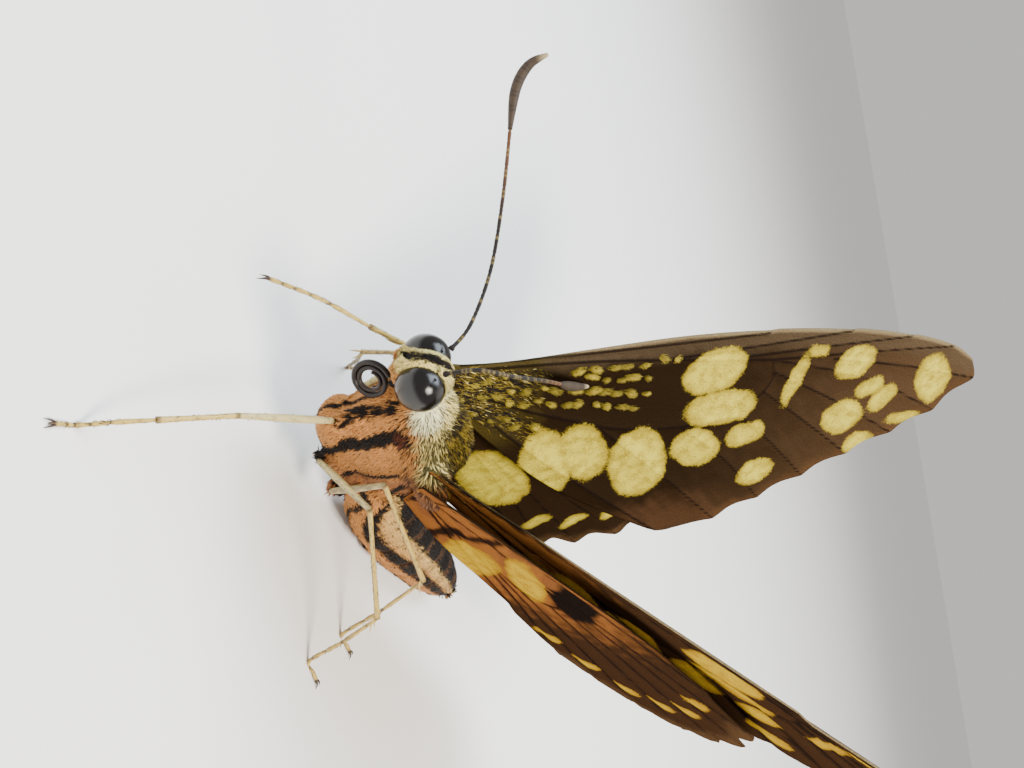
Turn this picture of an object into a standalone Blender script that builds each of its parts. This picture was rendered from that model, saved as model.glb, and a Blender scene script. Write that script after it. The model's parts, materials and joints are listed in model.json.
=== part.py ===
"""Citrus swallowtail butterfly, life size, standing on a level floor with its wings half raised.

Units are metres. +X is the animal's left, +Y its rear and +Z up; the floor is Z = 0 and the
origin is under the middle of the whole figure. The head and thorax are held nose up, the
abdomen bends down behind them until its belly rests on the floor, and five feet stand while
the right foreleg reaches forward in the air.
"""
import math

import bmesh
import bpy
from mathutils import Matrix, Vector

MM = 0.001
OBJECT_NAME = "swallowtail_butterfly"

# Fit and fineness
GAP = 0.2 * MM
WELD_DISTANCE = 0.001 * MM
BODY_SIDES = 20
BALL_RINGS = 12
LIMB_BEVEL_RESOLUTION = 2
SHARP_ANGLE = math.radians(50.0)

# Rounded limb ends: length of the end step and its width, as shares of the limb's radius
END_STEP = 0.5
END_NARROWING = 0.6

# Stance: the point midway between the eyes, and how far the thorax is tipped nose up
EYES = Vector((0.0, -14.1 * MM, 13.7 * MM))
BODY_PITCH = math.radians(22.0)

# Head, in body axes: left, back, up from the point midway between the eyes
EYE_RADIUS = 1.5 * MM
EYE_HALF_WIDTH = 1.35 * MM
EYE_OFFSET = 1.15 * MM
EYE_INNER_FACE = 0.45 * MM
HEAD_CENTRE = (0.0, 0.15, 0.0)
HEAD_RADII = (1.2, 1.75, 1.85)
PALP_ROOT = (0.45, -0.4, -1.75)
PALP_TIP = (0.5, -1.95, -0.75)
PALP_RADIUS = 0.42 * MM
PALP_ROOT_RADIUS = 0.34 * MM
PALP_TIP_RADIUS = 0.26 * MM

# Proboscis: a flat coil under the face, its open side turned a little to the left
COIL_CENTRE = (0.0, -0.16, -3.45)
COIL_TURN_OUT = math.radians(28.0)
COIL_OUTER = 1.24 * MM
COIL_PITCH = 0.46 * MM
COIL_TURNS = 1.45
COIL_STEPS_PER_TURN = 14
PROBOSCIS_RADIUS = 0.21 * MM

# Antennae: roots, the points they bend through, and their thickness
ANTENNA_RADIUS = 0.25 * MM
CLUB_RADIUS = 0.42 * MM
CLUB_TAPER = (0.6, 0.85, 1.0, 1.0, 0.8, 0.55)
CLUB_STEPS = 3
ANTENNA_STEPS = 3
ANTENNA_PATHS = {
    "right": ((-0.95, -0.5, 1.9), (-2.6, -0.5, 2.95), (-6.1, -1.1, 4.05), (-10.0, -3.0, 5.2),
              (-13.6, -5.1, 6.15)),
    "left": ((0.95, -0.6, 1.9), (1.6, -1.2, 4.3), (0.9, 0.7, 5.6), (-1.7, 4.7, 5.7),
             (-4.1, 8.2, 5.2)),
}
CLUB_PATHS = {
    "right": ((-13.6, -5.1, 6.15), (-15.6, -6.4, 6.85), (-16.6, -7.1, 7.9), (-16.8, -7.3, 9.2)),
    "left": ((-4.1, 8.2, 5.2), (-5.1, 9.7, 5.0), (-6.1, 11.2, 5.0), (-6.9, 12.4, 5.4)),
}

# Thorax, in body axes: distance back, top, bottom and half width, all in mm
THORAX_SHAPE = (
    (2.15, 0.9, -2.4, 1.15),
    (2.7, 1.5, -3.7, 1.9),
    (3.6, 2.0, -5.3, 2.5),
    (5.0, 2.5, -6.4, 2.9),
    (6.5, 2.7, -7.2, 3.05),
    (8.0, 2.5, -7.4, 2.95),
    (9.5, 1.8, -6.8, 2.65),
    (10.6, 0.9, -6.0, 2.35),
    (11.2, 0.3, -5.4, 2.1),
)
THORAX_CUTS = (2.15, 3.5, 9.0, 11.1)
THORAX_RINGS = (4, 8, 4)
THORAX_LOWER_TAPER = 0.28

# Abdomen: its middle line (back and height from the floor), and how its size runs along it
ABDOMEN_LINE = ((10.15, 6.1), (12.9, 2.4), (20.0, 2.5), (27.8, 2.0))
ABDOMEN_HALF_HEIGHT = 3.2 * MM
ABDOMEN_HALF_WIDTH = 2.85 * MM
ABDOMEN_START_FULLNESS = 0.68
ABDOMEN_TAPER_POWER = 2.3
ABDOMEN_WIDEST = 0.32
ABDOMEN_CUTS = (0.0, 0.2, 0.42, 0.68, 0.985)
ABDOMEN_NAMES = ("abdomen_front", "abdomen_middle", "abdomen_rear", "abdomen_tip")
ABDOMEN_RINGS = 5

# Wings: plate thickness, roots and the directions of the forewing's span and front edge
WING_THICKNESS = 0.5 * MM
FOREWING_ROOT = Vector((3.4, 4.74, 12.2))
HINDWING_ROOT = Vector((2.95, 8.2, 10.0))
WING_SPAN = Vector((0.374, 0.661, 0.650)).normalized()
WING_FRONT = Vector((0.356, -0.750, 0.557)).normalized()
WING_LIFT = {"left": math.radians(1.2), "right": math.radians(0.3)}
HINDWING_FLARE = {"left": math.radians(3.0), "right": math.radians(15.0)}
HINDWING_FLARE_LINE = -3.0
FOREWING_CAMBER = 0.0035
FOREWING_CAMBER_LINE = -7.0
HINDWING_CAMBER = 0.0006
HINDWING_CAMBER_LINE = 12.0
CAMBER_CELL = 6.0
EDGE_STEPS = 3

# Forewing outline: span and forward reach in mm from its root
FOREWING_COSTA = ((0.3, 0.9), (4.1, 1.1), (10.6, 2.1), (18.2, 3.2), (25.5, 3.8), (33.7, 4.0),
                  (40.4, 3.6), (45.8, 2.7), (49.1, 1.3))
FOREWING_VEIN_TIPS = ((50.3, -0.6), (47.4, -4.0), (43.7, -6.3), (39.8, -8.5), (36.0, -10.8),
                      (32.3, -13.1), (28.6, -15.3))
FOREWING_DORSUM = ((25.2, -16.1), (23.0, -16.2), (15.3, -12.7), (10.1, -9.7), (5.3, -6.1),
                   (1.6, -2.9), (0.3, -1.2))
FOREWING_SCALLOP = 0.35

# Hindwing outline: angle behind its front edge in degrees, and reach in mm from its root
HINDWING_COSTA = ((-75.0, 2.4), (-38.0, 5.0), (-17.0, 9.5), (-5.5, 16.0), (2.0, 23.5))
HINDWING_VEIN_TIPS = ((8.5, 28.6), (16.5, 31.2), (24.5, 32.7), (32.0, 33.0), (39.0, 31.6),
                      (45.5, 29.2), (51.0, 26.2))
HINDWING_ANAL_EDGE = ((53.5, 19.5), (58.0, 13.0), (70.0, 7.0), (112.0, 1.1))
HINDWING_SCALLOP = 1.0

# Legs: hip, trochanter, knee, ankle and toe, in mm from the point between the eyes for X and Y,
# and from the floor for Z; a raised foot has its toe above the floor
LEG_POINTS = {
    "front_left": ((0.9, 2.2, 9.2), (1.6, 1.1, 7.2), (4.6, -4.4, 5.0), (7.0, -8.0, 3.1),
                   (9.0, -11.4, 0.0)),
    "front_right": ((-0.9, 2.2, 9.2), (-1.6, 1.1, 7.2), (-4.0, 2.8, 11.6), (-2.65, -1.9, 10.6),
                    (-4.0, -6.2, 5.8)),
    "middle_left": ((1.1, 4.8, 6.4), (1.9, 4.5, 4.1), (5.6, 5.3, 8.3), (9.9, 11.3, 6.4),
                    (12.3, 14.9, 0.0)),
    "middle_right": ((-1.1, 4.8, 6.4), (-1.9, 4.5, 4.1), (-5.3, 4.2, 10.8), (-8.0, 5.8, 4.4),
                     (-11.4, 11.2, 0.0)),
    "hind_left": ((1.35, 7.5, 5.3), (2.2, 7.7, 3.2), (4.15, 5.0, 9.2), (6.6, 13.1, 8.2),
                  (9.0, 18.0, 0.0)),
    "hind_right": ((-1.35, 7.5, 5.3), (-2.1, 7.7, 3.2), (-4.4, 6.6, 9.4), (-8.0, 13.8, 6.6),
                   (-10.2, 21.0, 0.0)),
}
RAISED_LEG = "front_right"
COXA_RADII = (0.95, 0.8, 0.5)
COXA_MIDDLE = 0.6
FEMUR_RADII = (0.4, 0.46, 0.42, 0.3)
TIBIA_RADII = (0.27, 0.29, 0.29, 0.28)
TARSUS_RADIUS = 0.26 * MM
TOE_HEIGHT = 0.22 * MM
TOE_LENGTH = 1.5 * MM
TARSUS_STEPS = 3
SOLE_SHARE = 0.4
SHIN_SHARE = 0.55
FOOT_BOW = 0.25 * MM
JOINT_OVERRUN = 0.7

COLOURS = {
    "head_fur": ((0.42, 0.36, 0.22, 1.0), 0.8),
    "eye_cornea": ((0.03, 0.02, 0.018, 1.0), 0.12),
    "proboscis_horn": ((0.05, 0.03, 0.025, 1.0), 0.3),
    "antenna_horn": ((0.04, 0.032, 0.025, 1.0), 0.45),
    "thorax_fur": ((0.5, 0.33, 0.2, 1.0), 0.8),
    "abdomen_fur": ((0.58, 0.42, 0.26, 1.0), 0.75),
    "wing_scales": ((0.06, 0.045, 0.03, 1.0), 0.65),
    "leg_horn": ((0.62, 0.53, 0.36, 1.0), 0.5),
}

BODY_FRAME = Matrix.Translation(EYES) @ Matrix.Rotation(-BODY_PITCH, 4, "X")


def make_material(name):
    """A plain Principled material in the part's own colour."""
    colour, roughness = COLOURS[name]
    material = bpy.data.materials.new(name)
    material.use_nodes = True
    shader = material.node_tree.nodes["Principled BSDF"]
    shader.inputs["Base Color"].default_value = colour
    shader.inputs["Roughness"].default_value = roughness
    material.diffuse_color = colour
    return material


def standing(point):
    """World place of a point given in mm from under the eyes."""
    return Vector((point[0] * MM, EYES.y + point[1] * MM, point[2] * MM))


def from_eyes(point):
    """World place of a point given in mm from between the eyes, in level axes."""
    return EYES + Vector(point) * MM


def in_body(point):
    """World place of a point given in mm in the tipped axes of head and thorax."""
    return BODY_FRAME @ (Vector(point) * MM)


def mirrored(point, side):
    """The point on the animal's left for side 1, or its mirror image for side -1."""
    return Vector((point[0] * side, point[1], point[2]))


def smooth_path(points, steps):
    """Points along a smooth line through the given ones, with steps points for each stretch."""
    spots = [Vector(point) for point in points]
    path = []
    for index in range(len(spots) - 1):
        before = spots[max(index - 1, 0)]
        start, end = spots[index], spots[index + 1]
        after = spots[min(index + 2, len(spots) - 1)]
        for step in range(steps):
            t = step / steps
            path.append(0.5 * (2.0 * start + (end - before) * t
                               + (2.0 * before - 5.0 * start + 4.0 * end - after) * t ** 2
                               + (3.0 * start - before - 3.0 * end + after) * t ** 3))
    path.append(spots[-1])
    return path


def between(values, t):
    """The value a share t of the way along a list of values."""
    place = t * (len(values) - 1)
    index = min(int(place), len(values) - 2)
    return values[index] + (values[index + 1] - values[index]) * (place - index)


def add_object(name, mesh, material, collection):
    """Link a finished bmesh as one named object with one material."""
    bmesh.ops.recalc_face_normals(mesh, faces=mesh.faces)
    data = bpy.data.meshes.new(name)
    mesh.to_mesh(data)
    mesh.free()
    data.shade_smooth()
    data.set_sharp_from_angle(angle=SHARP_ANGLE)
    part = bpy.data.objects.new(name, data)
    part.data.materials.append(material)
    collection.objects.link(part)
    return part


def cut_away(part, cutter):
    """Take the cutter's shape out of a part."""
    modifier = part.modifiers.new("Cut", "BOOLEAN")
    modifier.operation = "DIFFERENCE"
    modifier.solver = "EXACT"
    modifier.object = cutter


def as_cutter(part):
    """Mark an object as a cutter."""
    part.hide_render = True
    part.display_type = "WIRE"
    return part


def loft(sections):
    """A closed skin through oval rings; a section is (frame, half width, rise, drop, taper)."""
    mesh = bmesh.new()
    rings = []
    for frame, half_width, rise, drop, taper in sections:
        ring = bmesh.ops.create_circle(mesh, segments=BODY_SIDES, radius=1.0)["verts"]
        for vert in ring:
            across, height = vert.co.x, vert.co.y
            if height < 0.0:
                across *= 1.0 - taper * height ** 2
            reach = rise if height > 0.0 else drop
            vert.co = frame @ Vector((across * half_width, 0.0, height * reach))
        rings.append(ring)
    for lower, upper in zip(rings, rings[1:]):
        rims = {edge for vert in lower + upper for edge in vert.link_edges if edge.is_wire
                or edge.is_boundary}
        rims = [edge for edge in rims if all(v in lower for v in edge.verts)
                or all(v in upper for v in edge.verts)]
        bmesh.ops.bridge_loops(mesh, edges=rims)
    bmesh.ops.holes_fill(mesh, edges=mesh.edges, sides=0)
    return mesh


def ball(centre, radii):
    """A UV ball stretched to three radii in the tipped axes of the body."""
    mesh = bmesh.new()
    place = (BODY_FRAME @ Matrix.Translation(Vector(centre) * MM)
             @ Matrix.Diagonal((*[radius * MM for radius in radii], 1.0)))
    bmesh.ops.create_uvsphere(mesh, u_segments=BODY_SIDES, v_segments=BALL_RINGS, radius=1.0,
                              matrix=place)
    return mesh


def slice_off(mesh, point, normal):
    """Cut a closed mesh flat, taking away what lies on the normal's side."""
    geometry = mesh.verts[:] + mesh.edges[:] + mesh.faces[:]
    cut = bmesh.ops.bisect_plane(mesh, geom=geometry, plane_co=point, plane_no=normal,
                                 clear_outer=True)["geom_cut"]
    edges = [item for item in cut if isinstance(item, bmesh.types.BMEdge)]
    bmesh.ops.holes_fill(mesh, edges=edges, sides=0)


def tube(path, radii):
    """A welded mesh tube along a path, its radius at each point in metres."""
    curve = bpy.data.curves.new("path", "CURVE")
    curve.dimensions = "3D"
    curve.bevel_depth = 1.0
    curve.bevel_resolution = LIMB_BEVEL_RESOLUTION
    curve.render_resolution_u = 0
    curve.use_fill_caps = True
    spline = curve.splines.new("POLY")
    spline.points.add(len(path) - 1)
    for knot, place, radius in zip(spline.points, path, radii):
        knot.co = (*place, 1.0)
        knot.radius = radius
    holder = bpy.data.objects.new("path", curve)
    bpy.context.scene.collection.objects.link(holder)
    bpy.context.view_layer.update()
    evaluated = holder.evaluated_get(bpy.context.evaluated_depsgraph_get())
    data = bpy.data.meshes.new_from_object(evaluated)
    bpy.data.objects.remove(holder)
    mesh = bmesh.new()
    mesh.from_mesh(data)
    bpy.data.meshes.remove(data)
    bmesh.ops.remove_doubles(mesh, verts=mesh.verts, dist=WELD_DISTANCE)
    return mesh


def rounded_ends(path, radii):
    """The path with a short, narrower step at each end, so that its tube's ends are rounded."""
    first, last = path[0], path[-1]
    lead = (path[1] - first).normalized() * radii[0] * END_STEP
    trail = (last - path[-2]).normalized() * radii[-1] * END_STEP
    longer = [first, first + lead] + path[1:-1] + [last - trail, last]
    thickness = ([radii[0] * END_NARROWING, radii[0]] + radii[1:-1]
                 + [radii[-1], radii[-1] * END_NARROWING])
    return longer, thickness


def limb(name, path, radii, material, collection):
    """One length of a feeler or palp: a tube with rounded ends, GAP short of its neighbours."""
    ends = [path[0] + (path[1] - path[0]).normalized() * GAP * 0.5,
            path[-1] + (path[-2] - path[-1]).normalized() * GAP * 0.5]
    trimmed = [ends[0]] + list(path[1:-1]) + [ends[1]]
    return add_object(name, tube(*rounded_ends(trimmed, list(radii))), material, collection)


def joint_face(before, joint, after):
    """Middle and forward normal of the mitre face at a joint between two straight lengths."""
    normal = (joint - before).normalized() + (after - joint).normalized()
    return joint, normal.normalized()


def leg_length(path, radii, root_joint, end_joint):
    """A tube along one length of a leg, cut to half the gap at the joint faces it meets."""
    reach = JOINT_OVERRUN
    first = path[0] - (path[1] - path[0]).normalized() * radii[0] * reach
    last = path[-1] + (path[-1] - path[-2]).normalized() * radii[-1] * reach
    mesh = tube(*rounded_ends([first] + list(path[1:-1]) + [last], list(radii)))
    if root_joint:
        point, normal = root_joint
        slice_off(mesh, point + normal * GAP * 0.5, -normal)
    if end_joint:
        point, normal = end_joint
        slice_off(mesh, point - normal * GAP * 0.5, normal)
    return mesh


def thorax_section(back, swell=0.0):
    """The thorax's oval at a distance behind the eyes, swelled all round by some metres."""
    columns = list(zip(*THORAX_SHAPE))
    stations = columns[0]
    index = max(i for i in range(len(stations) - 1) if stations[i] <= back + 1e-9)
    t = (back - stations[index]) / (stations[index + 1] - stations[index])
    top, bottom, half_width = (column[index] + (column[index + 1] - column[index]) * t
                               for column in columns[1:])
    middle = (top + bottom) / 2.0
    frame = BODY_FRAME @ Matrix.Translation(Vector((0.0, back, middle)) * MM)
    half_height = (top - bottom) / 2.0 * MM + swell
    return frame, half_width * MM + swell, half_height, half_height, THORAX_LOWER_TAPER


def build_thorax(materials, collection, cutters):
    """Three rings of the thorax, and the cutter that keeps the coxae clear of them."""
    for name, start, end, count in zip(("prothorax", "mesothorax", "metathorax"), THORAX_CUTS,
                                       THORAX_CUTS[1:], THORAX_RINGS):
        half_gap = GAP / MM / 2.0
        low, high = start + half_gap, end - half_gap
        stations = [low + (high - low) * i / (count - 1) for i in range(count)]
        add_object(name, loft([thorax_section(back) for back in stations]),
                   materials["thorax_fur"], collection)
    clearance = loft([thorax_section(row[0], swell=GAP) for row in THORAX_SHAPE])
    return as_cutter(add_object("thorax_clearance", clearance, materials["thorax_fur"], cutters))


def abdomen_fullness(t):
    """Share of the abdomen's greatest size at a share t of its length."""
    if t < ABDOMEN_WIDEST:
        rise = math.sin(math.pi / 2.0 * t / ABDOMEN_WIDEST)
        return ABDOMEN_START_FULLNESS + (1.0 - ABDOMEN_START_FULLNESS) * rise
    run = (t - ABDOMEN_WIDEST) / (1.0 - ABDOMEN_WIDEST)
    return math.sqrt(1.0 - run ** ABDOMEN_TAPER_POWER)


def abdomen_section(t):
    """The abdomen's oval at a share t of its length, square to its middle line."""
    p0, p1, p2, p3 = (standing((0.0, y, z)) for y, z in ABDOMEN_LINE)
    s = 1.0 - t
    place = p0 * s ** 3 + p1 * 3.0 * s ** 2 * t + p2 * 3.0 * s * t ** 2 + p3 * t ** 3
    along = (p1 - p0) * s ** 2 + (p2 - p1) * 2.0 * s * t + (p3 - p2) * t ** 2
    slope = math.atan2(along.z, along.y)
    frame = Matrix.Translation(place) @ Matrix.Rotation(slope, 4, "X")
    size = abdomen_fullness(t)
    half_height = ABDOMEN_HALF_HEIGHT * size
    return frame, ABDOMEN_HALF_WIDTH * size, half_height, half_height, 0.0


def build_abdomen(materials, collection):
    """The abdomen in four lengths, its belly cut flat where it rests on the floor."""
    half_gap = GAP / (ABDOMEN_LINE[-1][0] - ABDOMEN_LINE[0][0]) / MM / 2.0
    for name, start, end in zip(ABDOMEN_NAMES, ABDOMEN_CUTS, ABDOMEN_CUTS[1:]):
        low, high = start + half_gap, end - half_gap
        shares = [low + (high - low) * i / (ABDOMEN_RINGS - 1) for i in range(ABDOMEN_RINGS)]
        mesh = loft([abdomen_section(share) for share in shares])
        slice_off(mesh, Vector((0.0, 0.0, 0.0)), Vector((0.0, 0.0, -1.0)))
        add_object(name, mesh, materials["abdomen_fur"], collection)


def eye_mesh(side, swell):
    """One eye: a flattened ball with a flat inner face, swelled by some metres."""
    radii = (EYE_HALF_WIDTH + swell, EYE_RADIUS + swell, EYE_RADIUS + swell)
    mesh = ball((side * EYE_OFFSET / MM, 0.0, 0.0), [radius / MM for radius in radii])
    inner = EYE_INNER_FACE - swell
    slice_off(mesh, EYES + Vector((side * inner, 0.0, 0.0)), Vector((-side, 0.0, 0.0)))
    return mesh


def build_head(materials, collection, cutters):
    """Head capsule with eye sockets, both eyes, and the palps against its face."""
    head = add_object("head", ball(HEAD_CENTRE, HEAD_RADII), materials["head_fur"], collection)
    clear_radii = [radius + GAP / MM for radius in HEAD_RADII]
    head_clearance = as_cutter(add_object("head_clearance", ball(HEAD_CENTRE, clear_radii),
                                          materials["head_fur"], cutters))
    for label, side in (("left", 1), ("right", -1)):
        add_object(f"eye_{label}", eye_mesh(side, 0.0), materials["eye_cornea"], collection)
        socket = as_cutter(add_object(f"socket_{label}", eye_mesh(side, GAP),
                                      materials["head_fur"], cutters))
        cut_away(head, socket)
        root, tip = (in_body(mirrored(point, side)) for point in (PALP_ROOT, PALP_TIP))
        middle = (root + tip) / 2.0
        radii = [PALP_ROOT_RADIUS, PALP_RADIUS, PALP_TIP_RADIUS]
        palp = limb(f"palp_{label}", [root, middle, tip], radii, materials["head_fur"],
                    collection)
        cut_away(palp, head_clearance)
        cut_away(palp, socket)


def build_proboscis(materials, collection):
    """The coiled tongue: a flat spiral that winds forward, down and back under itself."""
    centre = from_eyes(COIL_CENTRE)
    turned = Matrix.Rotation(-COIL_TURN_OUT, 3, "Z")
    count = int(COIL_TURNS * COIL_STEPS_PER_TURN)
    path = []
    for step in range(count + 1):
        turn = step / COIL_STEPS_PER_TURN
        radius = COIL_OUTER - COIL_PITCH * turn
        angle = math.pi / 2.0 + turn * 2.0 * math.pi
        spoke = turned @ Vector((0.0, math.cos(angle), math.sin(angle)))
        path.append(centre + spoke * radius)
    add_object("proboscis", tube(path, [PROBOSCIS_RADIUS] * len(path)),
               materials["proboscis_horn"], collection)


def build_antennae(materials, collection):
    """Each antenna is a thin stalk and the club that it swells into."""
    for label in ("right", "left"):
        stalk = smooth_path([from_eyes(point) for point in ANTENNA_PATHS[label]], ANTENNA_STEPS)
        limb(f"antenna_{label}", stalk, [ANTENNA_RADIUS] * len(stalk),
             materials["antenna_horn"], collection)
        club = smooth_path([from_eyes(point) for point in CLUB_PATHS[label]], CLUB_STEPS)
        radii = [CLUB_RADIUS * between(CLUB_TAPER, i / (len(club) - 1))
                 for i in range(len(club))]
        limb(f"antenna_club_{label}", club, radii, materials["antenna_horn"], collection)


def scalloped(tips, centre, depth):
    """Vein tips with a shallow notch between each pair, cut towards the centre."""
    edge = [Vector(tips[0])]
    for first, second in zip(tips, tips[1:]):
        middle = (Vector(first) + Vector(second)) / 2.0
        inward = (Vector(centre) - middle).normalized()
        edge += [middle + inward * depth, Vector(second)]
    return edge


def polar(points):
    """Flat points from angles behind the front edge and distances from the root."""
    return [(reach * math.cos(math.radians(angle)), reach * math.sin(math.radians(angle)))
            for angle, reach in points]


def wing_outlines():
    """Closed outlines of the fore and hind wing, in mm in their own planes."""
    root = (0.0, 0.0)
    fore = ([Vector(point) for point in FOREWING_COSTA]
            + scalloped(FOREWING_VEIN_TIPS, root, FOREWING_SCALLOP)
            + [Vector(point) for point in FOREWING_DORSUM])
    hind = ([Vector(point) for point in polar(HINDWING_COSTA)]
            + scalloped(polar(HINDWING_VEIN_TIPS), root, HINDWING_SCALLOP)
            + [Vector(point) for point in polar(HINDWING_ANAL_EDGE)])
    return smooth_path(fore, EDGE_STEPS), smooth_path(hind, EDGE_STEPS)


def wing_sheet(outline, place):
    """A flat outline filled, divided into cells and laid on the wing's curved surface."""
    curve = bpy.data.curves.new("outline", "CURVE")
    curve.dimensions = "2D"
    curve.fill_mode = "BOTH"
    curve.render_resolution_u = 0
    spline = curve.splines.new("POLY")
    spline.points.add(len(outline) - 1)
    for knot, point in zip(spline.points, outline):
        knot.co = (point[0], point[1], 0.0, 1.0)
    spline.use_cyclic_u = True
    holder = bpy.data.objects.new("outline", curve)
    bpy.context.scene.collection.objects.link(holder)
    bpy.context.view_layer.update()
    evaluated = holder.evaluated_get(bpy.context.evaluated_depsgraph_get())
    data = bpy.data.meshes.new_from_object(evaluated)
    bpy.data.objects.remove(holder)
    mesh = bmesh.new()
    mesh.from_mesh(data)
    bpy.data.meshes.remove(data)
    bmesh.ops.remove_doubles(mesh, verts=mesh.verts, dist=WELD_DISTANCE / MM)
    bmesh.ops.dissolve_limit(mesh, angle_limit=math.radians(1.0), verts=mesh.verts,
                             edges=[edge for edge in mesh.edges if not edge.is_boundary])
    for axis in (Vector((1.0, 0.0, 0.0)), Vector((0.0, 1.0, 0.0))):
        reaches = [vert.co.dot(axis) for vert in mesh.verts]
        line = math.floor(min(reaches) / CAMBER_CELL) * CAMBER_CELL + CAMBER_CELL
        while line < max(reaches):
            bmesh.ops.bisect_plane(mesh, geom=mesh.verts[:] + mesh.edges[:] + mesh.faces[:],
                                   plane_co=axis * line, plane_no=axis)
            line += CAMBER_CELL
    bmesh.ops.triangulate(mesh, faces=mesh.faces)
    for vert in mesh.verts:
        vert.co = place(vert.co.x, vert.co.y)
    return mesh


def wing_surface(root, span, across, camber, line):
    """A place function for one cambered wing: mm along its span and across it to a point."""
    out = span.cross(across).normalized()
    if out.x < 0.0:
        out = -out

    def place(along, depth):
        hollow = camber * (depth - line) ** 2
        return root + span * along + across * depth + out * hollow

    return place


def build_wings(materials, collection):
    """Both pairs of wings: cambered sheets given an even thickness."""
    fore_outline, hind_outline = wing_outlines()
    flat_out = WING_SPAN.cross(WING_FRONT)
    for label, side in (("left", 1), ("right", -1)):
        lift, flare = WING_LIFT[label], HINDWING_FLARE[label]
        span = WING_SPAN * math.cos(lift) - flat_out * math.sin(lift)
        out = span.cross(WING_FRONT)
        rear = out * math.sin(flare) - WING_FRONT * math.cos(flare)
        fore_place = wing_surface(FOREWING_ROOT, span, WING_FRONT, FOREWING_CAMBER,
                                  FOREWING_CAMBER_LINE)
        pivot = -(WING_FRONT + rear) * HINDWING_FLARE_LINE
        hind_place = wing_surface(HINDWING_ROOT + pivot, span, rear, HINDWING_CAMBER,
                                  HINDWING_CAMBER_LINE)
        for kind, outline, place in (("forewing", fore_outline, fore_place),
                                     ("hindwing", hind_outline, hind_place)):
            mesh = wing_sheet(outline, lambda a, b: standing(mirrored(place(a, b), side)))
            wing = add_object(f"{kind}_{label}", mesh, materials["wing_scales"], collection)
            plate = wing.modifiers.new("Plate", "SOLIDIFY")
            plate.thickness = WING_THICKNESS
            plate.offset = 0.0


def tarsus_path(ankle, toe, raised):
    """The foot's line: straight down to the floor and then flat on it, or free in the air."""
    if raised:
        bend = ankle.lerp(toe, 0.5) + Vector((0.0, -FOOT_BOW, FOOT_BOW))
        return smooth_path([ankle, bend, toe], TARSUS_STEPS)
    toe = Vector((toe.x, toe.y, TOE_HEIGHT))
    level = Vector((toe.x - ankle.x, toe.y - ankle.y, 0.0)).normalized()
    heel = toe - level * TOE_LENGTH
    sole = toe - level * TOE_LENGTH * SOLE_SHARE
    shin = ankle.lerp(heel, SHIN_SHARE) + Vector((0.0, 0.0, FOOT_BOW))
    return smooth_path([ankle, shin, heel, sole, toe], TARSUS_STEPS)


def build_leg(label, materials, collection, thorax_clearance):
    """One leg in four lengths; the foot is cut flat at the floor."""
    hip, trochanter, knee, ankle, toe = (standing(point) for point in LEG_POINTS[label])
    horn = materials["leg_horn"]
    foot = tarsus_path(ankle, toe, label == RAISED_LEG)
    hip_joint = joint_face(hip, trochanter, knee)
    knee_joint = joint_face(trochanter, knee, ankle)
    ankle_joint = joint_face(knee, ankle, foot[1])
    mesh = leg_length([hip, hip.lerp(trochanter, COXA_MIDDLE), trochanter],
                      [radius * MM for radius in COXA_RADII], None, hip_joint)
    coxa = add_object(f"leg_{label}_coxa", mesh, materials["thorax_fur"], collection)
    cut_away(coxa, thorax_clearance)
    for name, start, end, radii, faces in (
            ("femur", trochanter, knee, FEMUR_RADII, (hip_joint, knee_joint)),
            ("tibia", knee, ankle, TIBIA_RADII, (knee_joint, ankle_joint))):
        path = [start.lerp(end, i / (len(radii) - 1)) for i in range(len(radii))]
        mesh = leg_length(path, [radius * MM for radius in radii], *faces)
        add_object(f"leg_{label}_{name}", mesh, horn, collection)
    mesh = leg_length(foot, [TARSUS_RADIUS] * len(foot), ankle_joint, None)
    slice_off(mesh, Vector((0.0, 0.0, 0.0)), Vector((0.0, 0.0, -1.0)))
    add_object(f"leg_{label}_tarsus", mesh, horn, collection)


def main():
    """Build the butterfly from head to tail."""
    for item in list(bpy.data.objects):
        bpy.data.objects.remove(item)
    parts = bpy.data.collections.new(OBJECT_NAME)
    cutters = bpy.data.collections.new("cutters")
    for collection in (parts, cutters):
        bpy.context.scene.collection.children.link(collection)
    materials = {name: make_material(name) for name in COLOURS}
    build_head(materials, parts, cutters)
    build_proboscis(materials, parts)
    build_antennae(materials, parts)
    thorax_clearance = build_thorax(materials, parts, cutters)
    build_abdomen(materials, parts)
    build_wings(materials, parts)
    for label in LEG_POINTS:
        build_leg(label, materials, parts, thorax_clearance)


main()
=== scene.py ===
"""Looks of a life-size swallowtail butterfly: one scaled skin, fur, wings, eyes and legs.

Lengths are in millimetres until a mesh is written, when MM turns them into metres. The axes are
those of the frame: the floor is at height 0, the butterfly faces -Y and its left side is +X.
"""

import json
import logging
import math
from collections.abc import Callable, Sequence
from dataclasses import dataclass, field
from enum import Enum

import bpy
import numpy as np
from mathutils import Matrix, Vector

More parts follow.
